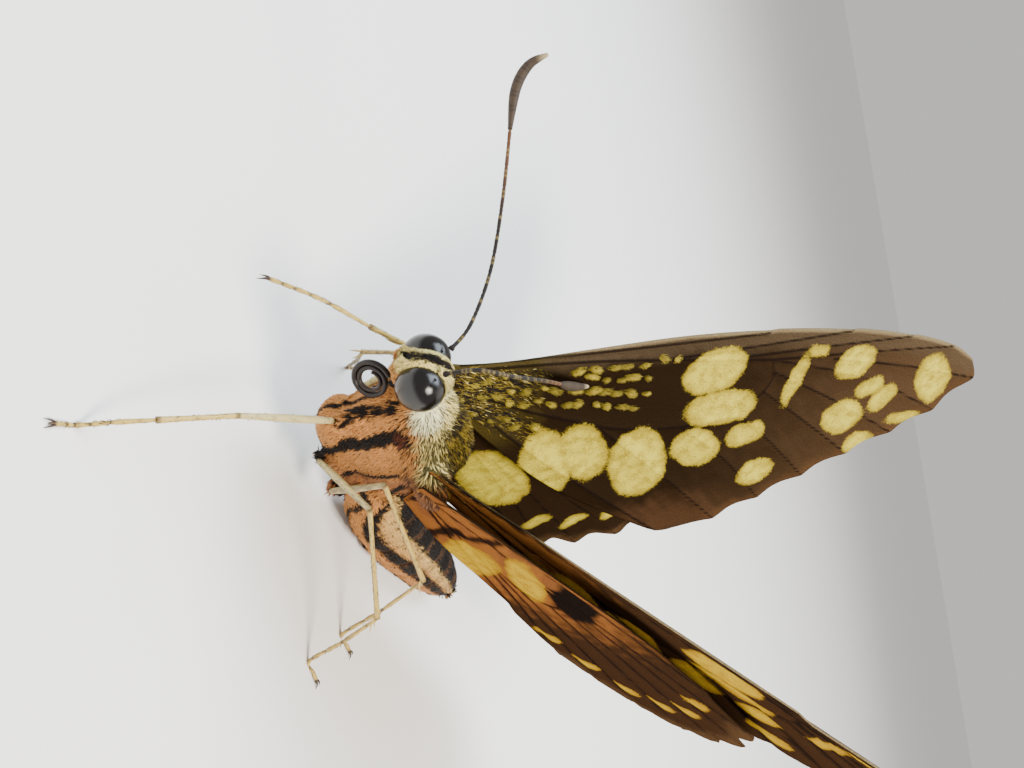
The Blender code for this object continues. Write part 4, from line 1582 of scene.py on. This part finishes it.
def hind_wing(side: Side) -> HindWing:
    """The hind wing with its yellow band, dark outer field and edge spots.

    Args:
        side: The side; the left wing's front lobe is spread, the right one's folded under.

    Returns:
        The wing.
    """
    spread = (((-92.0, 4.6), (-58.0, 6.6), (-31.0, 10.0), (-13.0, 16.0)) if side is Side.LEFT
              else ((-75.0, 2.8), (-42.0, 5.4), (-19.0, 9.6), (-7.0, 16.0)))
    front = polar((*spread, (2.0, 23.5)))
    ends = ((8.5, 28.6), (16.5, 31.2), (24.5, 32.7), (32.0, 33.0), (39.0, 31.6), (45.5, 29.2),
            (51.0, 26.2))
    rear = polar(((53.5, 19.5), (59.0, 14.0), (72.0, 9.0), (105.0, 3.4)))
    cell = ((12.0, 10.5), (21.0, 13.0), (28.0, 13.4), (38.0, 12.5))
    roots = ((8.0, 7.5), *cell, (43.0, 9.5), (47.0, 6.5))
    lines = [(root, ((root[0] + end[0]) / 2.0, (root[1] + end[1]) / 2.0), end)
             for root, end in zip(roots, ends)]
    lines += [((-20.0, 1.0), (4.0, 5.0), (8.0, 7.5), cell[0]),
              ((60.0, 1.0), (47.0, 6.5), cell[-1]), cell,
              ((-38.0, 3.0), (-13.0, 9.0), (1.0, 22.0)),
              ((75.0, 1.2), (60.0, 8.0), (54.0, 18.0))]
    veins = [smooth_path(polar(line), 5) for line in lines]
    upper = (Spot((7.9, 9.2), 4.9, 2.3, 46.0), Spot((9.9, 3.6), 3.0, 2.0, 80.0),
             Spot((10.6, -0.6), 2.2, 1.8, 60.0))
    under = (Spot((5.5, 8.0), 5.3, 2.1, 95.0), Spot((9.1, 3.2), 4.7, 1.5, 70.0))
    edge = [Spot(tuple(polar(((turn, reach),))[0]), 1.3, 0.85, turn + 90.0)
            for turn, reach in ((12.5, 24.4), (20.5, 26.6), (28.2, 27.6), (35.5, 27.2),
                                (42.2, 25.0), (48.2, 22.0))]
    return HindWing(front, polar(ends), rear, 1.0, veins, (*upper, *edge), (*under, *edge))


@dataclass
class WingCoat:
    """Hair at a fore wing's root and raised golden scales in rows along its cell."""

    finish: CoatFinish = field(default_factory=lambda: CoatFinish("wing_hair", 0.42))
    hair: Tufts = Tufts(0.9, 0.05, 0.03, 0.22, 0.2)
    hair_count: int = 2600
    hair_reach: float = 7.5
    hair_lie: Flat = (1.0, -0.22)
    dark_share: float = 0.7
    cream_share: float = 0.03
    gap: float = 0.04
    gold: Colour = (0.5, 0.38, 0.04)
    seed: int = 60
    map_start: Flat = (2.0, 18.0)
    map_size: float = 56.0
    clump_count: int = 150
    clump_spread: Flat = (0.46, 0.27)
    clump_height: float = 0.15
    clump_step: float = 1.2
    clump_size: float = 0.36
    clump_rows: tuple[tuple[Flat, Flat], ...] = (
        ((10.2, 0.4), (17.8, 1.3)), ((10.4, -0.4), (16.6, -0.2)), ((5.0, -1.0), (17.2, -1.6)),
        ((4.2, -2.1), (16.0, -2.9)), ((1.8, -3.0), (8.8, -4.5)), ((1.2, -0.9), (4.2, -0.1)),
        ((1.4, -1.7), (4.6, -1.5)))

    def clumps(self, spread: np.random.Generator) -> tuple[Array, Array, Array]:
        """Raised clumps of golden scales in rows along the wing's cell.

        Args:
            spread: The source of variation.

        Returns:
            Flat places, colours and heights above the wing.
        """
        rows, tones, rises = [], [], []
        for number, (start, end) in enumerate(self.clump_rows):
            heading = unit(np.array(end) - np.array(start))
            reach = (number % 2) * 0.5 * self.clump_step
            while reach < math.dist(start, end):
                middle = np.array(start) + heading * (reach + spread.normal(0.0, 0.24))
                middle[1] += spread.normal(0.0, 0.13)
                size = spread.uniform(0.55, 1.3)
                count = int(self.clump_count * size ** 1.5)
                angle = spread.uniform(0.0, math.tau, count)
                share = np.sqrt(spread.uniform(0.0, 1.0, count))
                wide = size * share * (1.0 + 0.3 * np.sin(2.0 * angle + middle[0] * 7.0))
                axes = np.array((heading, (-heading[1], heading[0])))
                rings = np.stack((np.cos(angle), np.sin(angle)), axis=1)
                rows.append(middle + wide[:, None] * np.array(self.clump_spread) * rings @ axes)
                bright = spread.uniform(0.5, 1.0) * (1.0 - 0.45 * share ** 2)
                tones.append(np.array(self.gold) * bright[:, None]
                             * spread.uniform(0.7, 1.2, (count, 1)))
                rises.append(self.clump_height * (1.0 - share ** 2))
                reach += self.clump_step * spread.uniform(0.85, 1.15)
        return np.concatenate(rows), np.concatenate(tones), np.concatenate(rises)

    def roots(self, side: Side) -> tuple[Array, Array, Array, Array]:
        """Where the tufts stand in the wing's plane.

        Args:
            side: The side, which sets the variation.

        Returns:
            Flat places, colours, sizes and heights.
        """
        spread = np.random.default_rng(self.seed + side.value)
        reach = self.hair_reach * spread.beta(1.1, 1.8, self.hair_count) + 0.5
        rise = spread.uniform(-0.95, 0.95, self.hair_count)
        hair = np.stack((reach, -0.45 - 0.34 * reach + rise * (1.1 + 0.36 * reach)), axis=1)
        chance = spread.uniform(size=self.hair_count)[:, None]
        tone = np.where(chance < self.dark_share, np.array(PALETTE.black),
                        np.array(PALETTE.gold))
        tone = np.where(chance > 1.0 - self.cream_share, np.array(PALETTE.cream), tone)
        fade = 1.0 - 0.6 * reach / (self.hair_reach + 0.5)
        golden, shades, rises = self.clumps(spread)
        flat = np.concatenate((hair, golden))
        sizes = np.concatenate((fade, np.full(len(golden), self.clump_size)))
        heights = np.concatenate((np.zeros(self.hair_count), rises)) + self.gap
        return flat, np.concatenate((tone, shades)), sizes, heights

    def build(self, plane: WingPlane) -> bpy.types.Object:
        """Lays the tufts on one fore wing's upper face.

        Args:
            plane: The wing's plane.

        Returns:
            The coat.
        """
        flat, tone, sizes, heights = self.roots(plane.side)
        facing, lie = plain(plane.facing(), len(flat)), plain(self.hair_lie, len(flat))
        roots = plane.places(flat, heights)
        patches = (flat + np.array(self.map_start)) / self.map_size
        coat = MAKER.lay(self.hair, roots, facing, plane.direction(lie), tone, patches,
                         self.seed + 10 + plane.side.value, sizes)
        return finished(coat, f"wing_root_hair_{plane.side.label}", "wing_scales", (),
                        self.finish.material())


# ---------------------------------------------------------------- head parts


@dataclass
class Eyes:
    """The pair of flattened, glossy eyes."""

    half_sizes: Point = (1.35, 1.5, 1.5)
    offset: float = 1.15
    inner_face: float = 0.45
    finish: EyeFinish = field(default_factory=EyeFinish)

    def build(self, side: Side) -> bpy.types.Object:
        """One eye: a ball, flattened and cut off inside the head.

        Args:
            side: The side.

        Returns:
            The eye.
        """
        bpy.ops.object.select_all(action="DESELECT")
        bpy.ops.mesh.primitive_uv_sphere_add(segments=72, ring_count=36, radius=1.0)
        obj = bpy.context.object
        centre = np.array((self.offset * side.value, 0.0, 0.0))
        put_places(obj, places_of(obj) * MM * np.array(self.half_sizes) + centre
                   + np.array(STANCE.eyes))
        bpy.ops.object.mode_set(mode="EDIT")
        bpy.ops.mesh.select_all(action="SELECT")
        cut = (np.array(STANCE.eyes) + np.array((self.inner_face * side.value, 0, 0))) * MM
        bpy.ops.mesh.bisect(plane_co=tuple(cut), plane_no=(-side.value, 0, 0), use_fill=True,
                            clear_outer=True)
        bpy.ops.object.mode_set(mode="OBJECT")
        return finished(obj, f"glossy_eye_{side.label}", "eye_cornea", (f"eye_{side.label}",),
                        self.finish.material())


@dataclass
class Tongue:
    """The proboscis, wound up in a flat coil."""

    centre: Point = (0.0, -0.16, -3.45)
    turn_out: float = math.radians(28.0)
    outer: float = 1.24
    pitch: float = 0.33
    turns: float = 2.2
    steps: int = 56
    radius: float = 0.185
    taper_start: float = 1.6
    taper: Point = (1.0, 0.9, 0.6)
    colour: Colour = (0.009, 0.004, 0.003)
    inner_colour: Colour = (0.06, 0.025, 0.01)
    finish: HornFinish = field(
        default_factory=lambda: HornFinish("tongue_horn", 0.09, 0.26, 0.12, 0.012))

    def build(self) -> bpy.types.Object:
        """The coil, finer towards its tip."""
        turn = np.arange(int(self.turns * self.steps)) / self.steps
        reach, angle = self.outer - self.pitch * turn, math.pi / 2.0 + turn * math.tau
        level = np.cos(angle) * reach
        path = STANCE.from_eyes(self.centre) + np.stack(
            (level * math.sin(self.turn_out), level * math.cos(self.turn_out),
             np.sin(angle) * reach), axis=1)
        radii = self.radius * np.interp(turn, (0.0, self.taper_start, self.turns), self.taper)
        obj = STOCK.tube(path, radii, 16)
        share = np.linalg.norm(places_of(obj) - STANCE.from_eyes(self.centre), axis=1)
        tone = over(plain(self.colour, len(share)), eased(0.75, 0.3, share) * 0.8,
                    self.inner_colour)
        paint(obj, "Marking", tone)
        return finished(obj, "coiled_tongue", "proboscis_horn", ("proboscis",),
                        self.finish.material())


@dataclass
class Antenna:
    """One antenna: a ringed stalk and a curved, scaly club."""

    side: Side
    stalk: tuple[Point, ...]
    club: tuple[Point, ...]
    club_steps: int = 12
    joint: float = 0.32
    radius: float = 0.115
    bulb: tuple[float, ...] = (1.9, 1.9, 1.7, 1.4, 1.1)
    club_radius: float = 0.34
    club_taper: tuple[float, ...] = (0.42, 0.6, 0.8, 0.95, 1.0, 1.0, 0.9, 0.7, 0.35)
    ring_colour: Colour = (0.3, 0.22, 0.07)
    rust: Colour = (0.13, 0.05, 0.02)
    club_colour: Colour = (0.045, 0.03, 0.02)
    tip_colour: Colour = (0.42, 0.33, 0.2)
    finish: HornFinish = field(
        default_factory=lambda: HornFinish("antenna_horn", 0.1, 0.5, 0.0, 0.02))

    def build(self) -> None:
        """Builds the stalk and the club."""
        label = self.side.label
        path = smooth_path(STANCE.from_eyes(self.stalk), 16)
        length = along(path)[-1]
        rings = int(length / self.joint * 6) + 1
        joints = np.linspace(0.0, length / self.joint, rings) % 1.0
        radii = self.radius * (1.0 + 0.12 * np.sin(joints * math.pi) - 0.12 * (joints < 0.1))
        radii[:len(self.bulb)] *= self.bulb
        radii[-1] *= 0.6
        stalk = STOCK.tube(path, radii, 10, rings)
        self.dress(stalk, length)
        finished(stalk, f"ringed_stalk_{label}", "antenna_horn", (f"antenna_{label}",),
                 self.finish.material())
        path = smooth_path(STANCE.from_eyes(self.club), self.club_steps)
        club = STOCK.tube(path, np.array(self.club_taper) * self.club_radius, 14, 44)
        self.dress_club(club, along(path)[-1])
        finished(club, f"scaly_club_{label}", "antenna_horn", (f"antenna_club_{label}",),
                 self.finish.material())

    def dress(self, stalk: bpy.types.Object, length: float) -> None:
        """Paints a pale ring at each joint of the stalk, and rust near the club.

        Args:
            stalk: The stalk.
            length: Its length in mm.
        """
        reach = noted(stalk, "Along")
        joint = reach / self.joint % 1.0
        tone = plain(PALETTE.black, len(reach))
        tone = over(tone, eased(0.55, 1.0, reach / length) * 0.7, self.rust)
        tone = over(tone, (np.abs(joint - 0.12) < 0.1) * 0.45, self.ring_colour)
        paint(stalk, "Marking", tone)

    def dress_club(self, club: bpy.types.Object, length: float) -> None:
        """Paints the club grey-brown with a pale tip.

        Args:
            club: The club.
            length: Its length in mm.
        """
        reach = noted(club, "Along")
        joint = reach / (self.joint * 0.7) % 1.0
        tone = plain(self.club_colour, len(reach))
        tone = over(tone, (joint < 0.25) * 0.5, PALETTE.black)
        tone = over(tone, eased(length - 0.8, length - 0.1, reach) * 0.8, self.tip_colour)
        paint(club, "Marking", tone)


# ---------------------------------------------------------------- legs


class Pair(Enum):
    """The three pairs of legs."""

    FRONT = "front"
    MIDDLE = "middle"
    HIND = "hind"


@dataclass
class Leg:
    """One leg below the hip: femur, tibia and a foot of five joints with claws."""

    pair: Pair
    side: Side
    trochanter: Point
    knee: Point
    ankle: Point
    toe: Point
    raised: bool = False
    femur_radii: tuple[float, ...] = (0.19, 0.24, 0.25, 0.23, 0.2, 0.18)
    tibia_radii: tuple[float, ...] = (0.18, 0.145, 0.15, 0.155, 0.165, 0.2)
    foot_radius: float = 0.14
    toe_height: float = 0.155
    toe_length: float = 1.5
    foot_shares: tuple[float, ...] = (0.0, 0.42, 0.6, 0.75, 0.87, 1.0)
    foot_swell: tuple[float, ...] = (0.72, 0.86, 0.9, 0.95, 1.08, 1.1, 0.7)
    spur_length: float = 0.95
    claw_length: float = 0.55
    bristle: Tufts = Tufts(0.2, 0.02, 0.02, 0.08)
    bristles: int = 90
    cream: Colour = (0.5, 0.35, 0.09)
    silver: Colour = (0.52, 0.42, 0.18)
    # Colour of the dark joints, and also of the painted shade on the under side of femur, tibia
    # and foot.
    joint_and_shade_colour: Colour = (0.08, 0.045, 0.02)
    claw_colour: Colour = (0.04, 0.02, 0.012)
    finish: HornFinish = field(
        default_factory=lambda: HornFinish("leg_horn", 0.16, 0.38, 0.25, 0.02))

    @property
    def label(self) -> str:
        """The leg's name as its nodes spell it."""
        return f"leg_{self.pair.value}_{self.side.label}"

    def foot_path(self) -> Array:
        """The foot's line: down to the floor and flat on it, or free in the air."""
        ankle, toe = STANCE.standing((self.ankle, self.toe))
        if self.raised:
            bend = (ankle + toe) / 2.0 + np.array((0.0, -0.25, 0.25))
            return smooth_path((ankle, bend, toe), 14)
        toe = np.array((toe[0], toe[1], self.toe_height))
        level = unit(np.array((toe[0] - ankle[0], toe[1] - ankle[1], 0.0)))
        heel, sole = toe - level * self.toe_length, toe - level * self.toe_length * 0.4
        shin = ankle + (heel - ankle) * 0.55 + np.array((0.0, 0.0, 0.25))
        return smooth_path((ankle, shin, heel, sole, toe), 10)

    def painted(self, obj: bpy.types.Object, colour: Colour, shade: Colour,
                ends: float = 0.3) -> bpy.types.Object:
        """Paints a length: pale on top, painted shade below where it faces down, dark blotches,
        and dark joints at its two ends.

        Args:
            obj: The length.
            colour: Its main colour.
            shade: The colour of the painted shade on its under side, and of its dark blotches.
            ends: Length of the dark ends in mm.

        Returns:
            The length.
        """
        reach, facing = noted(obj, "Along"), vertex_rows(obj, "normal")
        rough = grain(places_of(obj), 0.5, 41)
        tone = plain(colour, len(reach))
        # Painted shade: faces that look down are darkened towards the shade colour.
        tone = over(tone, eased(0.1, -0.7, facing[:, 2] + rough * 0.4) * 0.7, shade)
        tone = over(tone, eased(0.55, 0.85, rough) * 0.4, shade)
        near = np.minimum(reach, reach.max() - reach)
        tone = over(tone, eased(ends, ends * 0.3, near) * 0.75, self.joint_and_shade_colour)
        paint(obj, "Marking", tone)
        return obj

    def thorn(self, root: Array, tip: Array, radius: float, colour: Colour,
              bow: Array | None = None) -> bpy.types.Object:
        """A spur, claw or bristle that tapers to its tip.

        Args:
            root: Its root.
            tip: Its tip.
            radius: Radius at the root.
            colour: Its colour.
            bow: How far its middle stands off the straight line.

        Returns:
            The thorn.
        """
        middle = (root + tip) / 2.0 + (np.zeros(3) if bow is None else bow)
        obj = STOCK.tube(smooth_path((root, middle, tip), 3),
                         (radius, radius, radius * 0.65, radius * 0.12), 6)
        paint(obj, "Marking", plain(colour, len(obj.data.vertices)))
        return obj

    def spikes(self, path: Array, radius: float, count: int, seed: int) -> bpy.types.Object:
        """Short dark bristles round a length, leaning towards its far end.

        Args:
            path: The length's middle line.
            radius: Its radius.
            count: Number of bristles.
            seed: Number that sets their places.

        Returns:
            The bristles, joined.
        """
        spread = np.random.default_rng(seed)
        line = stations(path, 60)
        spot = spread.integers(4, 56, count)
        first, second = across_path(line)
        angle = spread.uniform(0.0, math.tau, count)[:, None]
        outward = first[spot] * np.cos(angle) + second[spot] * np.sin(angle)
        heading = unit(np.gradient(line, axis=0))[spot]
        coat = MAKER.lay(self.bristle, line[spot] + outward * radius * 0.92, outward, heading,
                         plain(PALETTE.black, count), np.zeros((count, 2)), seed)
        coat.data.uv_layers.remove(coat.data.uv_layers[0])
        keep_above(coat, 0.0)
        note(coat, "Along", np.zeros(len(coat.data.vertices)))
        return coat

    def femur(self) -> bpy.types.Object:
        """The silvery upper length."""
        path = STANCE.standing((self.trochanter, self.knee))
        upper = self.painted(STOCK.tube(path, self.femur_radii, 16, 30), self.silver,
                             self.joint_and_shade_colour, 0.25)
        return joined("femur", (upper, self.spikes(path, 0.25, self.bristles // 2, 81)))

    def tibia(self) -> bpy.types.Object:
        """The cream lower length with its spurs, or the leaf spur of a fore leg."""
        path = STANCE.standing((self.knee, self.ankle))
        heading = unit(path[1] - path[0])
        parts = [self.painted(STOCK.tube(path, self.tibia_radii, 14, 34), self.cream,
                              self.joint_and_shade_colour),
                 self.spikes(path, 0.17, self.bristles, 82)]
        down = unit(np.array((0.0, 0.0, -1.0)) + heading * heading[2])
        sideways = np.cross(heading, down)
        if self.pair is Pair.FRONT:
            root = path[0] + (path[1] - path[0]) * 0.42
            parts.append(self.thorn(root + down * 0.15, root + heading * 1.15 + down * 0.38,
                                    0.13, self.cream, down * 0.06))
        else:
            for turn in (-1.0, 1.0):
                spread = down * 0.3 + sideways * turn * 0.22
                parts.append(self.thorn(path[1] - heading * 0.15 + spread * 0.5,
                                        path[1] + heading * self.spur_length + spread * 1.5,
                                        0.075, self.cream, spread * 0.15))
        return joined("tibia", parts)

    def foot(self) -> bpy.types.Object:
        """Five joints, each wider at its end, two claws and a pad."""
        path = self.foot_path()
        line = stations(path, 101)
        parts = []
        for start, end in zip(self.foot_shares, self.foot_shares[1:]):
            part = line[int(start * 100):int(end * 100) + 1]
            radii = np.array(self.foot_swell) * self.foot_radius
            parts.append(self.painted(STOCK.tube(part, radii, 12, 12), self.cream,
                                      self.joint_and_shade_colour, 0.16))
        parts.append(self.spikes(path, self.foot_radius, self.bristles, 83))
        heading = unit(line[-1] - line[-4])
        sideways = unit(np.cross(heading, np.array((0.0, 0.0, 1.0))))
        drop = min(self.claw_length * 0.5, line[-1][2] - 0.03)
        for turn in (-1.0, 1.0):
            tip = (line[-1] + heading * self.claw_length + sideways * turn * 0.24
                   - np.array((0.0, 0.0, drop)))
            parts.append(self.thorn(line[-1] - heading * 0.08 + sideways * turn * 0.06, tip,
                                    0.07, self.claw_colour, np.array((0.0, 0.0, 0.14))))
        parts.append(self.thorn(line[-1] - heading * 0.1, line[-1] + heading * 0.3
                                - np.array((0.0, 0.0, drop * 0.5)), 0.1, self.joint_and_shade_colour))
        return joined("foot", parts)

    def build(self) -> None:
        """Builds and dresses the three lengths."""
        for node, piece in (("femur", self.femur()), ("tibia", self.tibia()),
                            ("tarsus", self.foot())):
            finished(piece, f"{self.label}_{node}_horn", "leg_horn", (f"{self.label}_{node}",),
                     self.finish.material())


def legs() -> list[Leg]:
    """The six legs as they stand; the right fore leg is raised."""
    front, middle, hind = Pair.FRONT, Pair.MIDDLE, Pair.HIND
    left, right = Side.LEFT, Side.RIGHT
    return [Leg(front, left, (1.6, 1.1, 7.2), (4.6, -4.4, 5.0), (7.0, -8.0, 3.1),
                (9.0, -11.4, 0.0)),
            Leg(front, right, (-1.4, 1.9, 8.2), (-4.0, 2.8, 11.6), (-2.65, -1.9, 10.6),
                (-4.0, -6.2, 5.8), True),
            Leg(middle, left, (1.9, 4.5, 4.1), (5.6, 5.3, 8.3), (9.9, 11.3, 6.4),
                (12.3, 14.9, 0.0)),
            Leg(middle, right, (-1.9, 4.5, 4.1), (-5.3, 4.2, 10.8), (-8.0, 5.8, 4.4),
                (-11.4, 11.2, 0.0)),
            Leg(hind, left, (2.2, 7.7, 3.2), (4.15, 5.0, 9.2), (6.6, 13.1, 8.2),
                (9.0, 18.0, 0.0)),
            Leg(hind, right, (-2.1, 7.7, 3.2), (-4.4, 6.6, 9.4), (-8.0, 13.8, 6.6),
                (-10.2, 21.0, 0.0))]


def antennae() -> list[Antenna]:
    """The two antennae, one held to each side of the head."""
    return [Antenna(Side.RIGHT,
                    ((-0.95, -0.5, 1.9), (-2.6, -0.5, 2.95), (-6.1, -1.1, 4.05),
                     (-10.0, -3.0, 5.2), (-13.6, -5.1, 6.15)),
                    ((-13.6, -5.1, 6.15), (-15.6, -6.4, 6.85), (-16.6, -7.1, 7.9),
                     (-16.8, -7.3, 9.2))),
            Antenna(Side.LEFT,
                    ((0.95, -0.6, 1.9), (1.6, -1.2, 4.3), (0.9, 0.7, 5.6), (-1.7, 4.7, 5.7),
                     (-4.1, 8.2, 5.2)),
                    ((-4.1, 8.2, 5.2), (-5.1, 9.7, 5.0), (-6.1, 11.2, 5.0),
                     (-6.9, 12.4, 5.4)))]


# ---------------------------------------------------------------- studio


def outward(bearing: float, height: float) -> Vector:
    """The direction at a bearing and a height angle, in degrees."""
    bearing, height = math.radians(bearing), math.radians(height)
    return Vector((math.sin(bearing) * math.cos(height), -math.cos(bearing) * math.cos(height),
                   math.sin(height)))


@dataclass(frozen=True)
class Lamp:
    """One soft light, placed by bearing, height angle and distance from the butterfly."""

    name: str
    bearing: float
    height: float
    distance: float
    size: float
    power: float
    colour: Colour

    def build(self, target: Vector) -> None:
        """Hangs the light.

        Args:
            target: The point that it shines on.
        """
        light = bpy.data.lights.new(self.name, "AREA")
        light.size, light.energy, light.color = self.size, self.power, self.colour
        obj = linked(self.name, light)
        away = outward(self.bearing, self.height)
        obj.location = target + away * self.distance
        obj.rotation_euler = away.to_track_quat("Z", "Y").to_euler()


@dataclass
class Studio:
    """The floor, the lights and the camera."""

    floor_radius: float = 5.0
    camera_from_eyes: Point = (34.67, -39.59, 26.47)
    azimuth: float = 39.54
    elevation: float = 21.81
    roll: float = 80.48
    lens: float = 35.15
    lit_height: float = 15.0
    sky: Colour = (0.8, 0.79, 0.77)
    sky_strength: float = 0.8
    lamps: tuple[Lamp, ...] = (
        Lamp("sun_box", 84.0, 52.0, 0.3, 0.09, 1.8, (1.0, 0.92, 0.8)),
        Lamp("top_box", -75.0, 66.0, 0.22, 0.18, 1.1, (0.8, 0.91, 1.0)),
        Lamp("back_box", 185.0, 45.0, 0.4, 0.3, 0.4, (1.0, 0.97, 0.92)))
    floor: FloorFinish = field(default_factory=FloorFinish)

    def build(self) -> None:
        """Sets up floor, lights, surroundings and camera."""
        bpy.ops.object.select_all(action="DESELECT")
        bpy.ops.mesh.primitive_circle_add(vertices=96, radius=self.floor_radius,
                                          fill_type="NGON", location=(0.0, 0.0, 0.0))
        card = bpy.context.object
        card.name = card.data.name = "floor_card"
        card.data.materials.append(self.floor.material())
        for lamp in self.lamps:
            lamp.build(Vector((0.0, 0.0, self.lit_height * MM)))
        world = bpy.data.worlds.new("studio")
        world.use_nodes = True
        background = world.node_tree.nodes["Background"]
        background.inputs["Color"].default_value = (*self.sky, 1.0)
        background.inputs["Strength"].default_value = self.sky_strength
        bpy.context.scene.world = world
        self.camera()

    def camera(self) -> None:
        """Places the camera by its distance from the eyes and turns it on its side."""
        lens = bpy.data.cameras.new("camera")
        lens.lens, lens.clip_start = self.lens, MM
        obj = linked("camera", lens)
        right, back = outward(self.azimuth + 90.0, 0.0), outward(self.azimuth, self.elevation)
        level = Matrix((right, back.cross(right), back)).transposed()
        turn = level @ Matrix.Rotation(math.radians(self.roll), 3, "Z")
        place = Vector(STANCE.from_eyes(self.camera_from_eyes)) * MM
        obj.matrix_world = Matrix.Translation(place) @ turn.to_4x4()
        bpy.context.scene.camera = obj


def wing_finishes(label: str) -> tuple[WingFinish, WingFinish]:
    """The finishes of a wing's upper and under face.

    Args:
        label: Name of the kind of wing.

    Returns:
        The two finishes.
    """
    black = (0.008, 0.005, 0.004)
    upper = WingFinish(f"{label}_upper", "Upper", "UpperSpots", (0.5, 0.42, 0.05),
                       (0.27, 0.2, 0.02), black)
    under = WingFinish(f"{label}_under", "Under", "UnderSpots", (0.44, 0.29, 0.02),
                       (0.28, 0.15, 0.012), black, 0.08)
    return upper, under


def main() -> None:
    """Builds the butterfly piece by piece, and the studio round it."""
    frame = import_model()
    skin = BodySkin().build(frame)
    BodyCoat().build(skin)
    for side in Side:
        Eyes().build(side)
    Tongue().build()
    for antenna in antennae():
        antenna.build()
    for leg in legs():
        leg.build()
    for side in Side:
        fore_plane, hind_plane = WingRig().planes(side)
        fore_wing(side).build(f"forewing_{side.label}", fore_plane, wing_finishes("fore_wing"))
        hind_wing(side).build(f"hindwing_{side.label}", hind_plane, wing_finishes("hind_wing"))
        WingCoat().build(fore_plane)
    Studio().build()
    LOG.info("sizes written")


if __name__ == "__main__":
    logging.basicConfig(level=logging.INFO, format="%(name)s %(message)s")
    main()
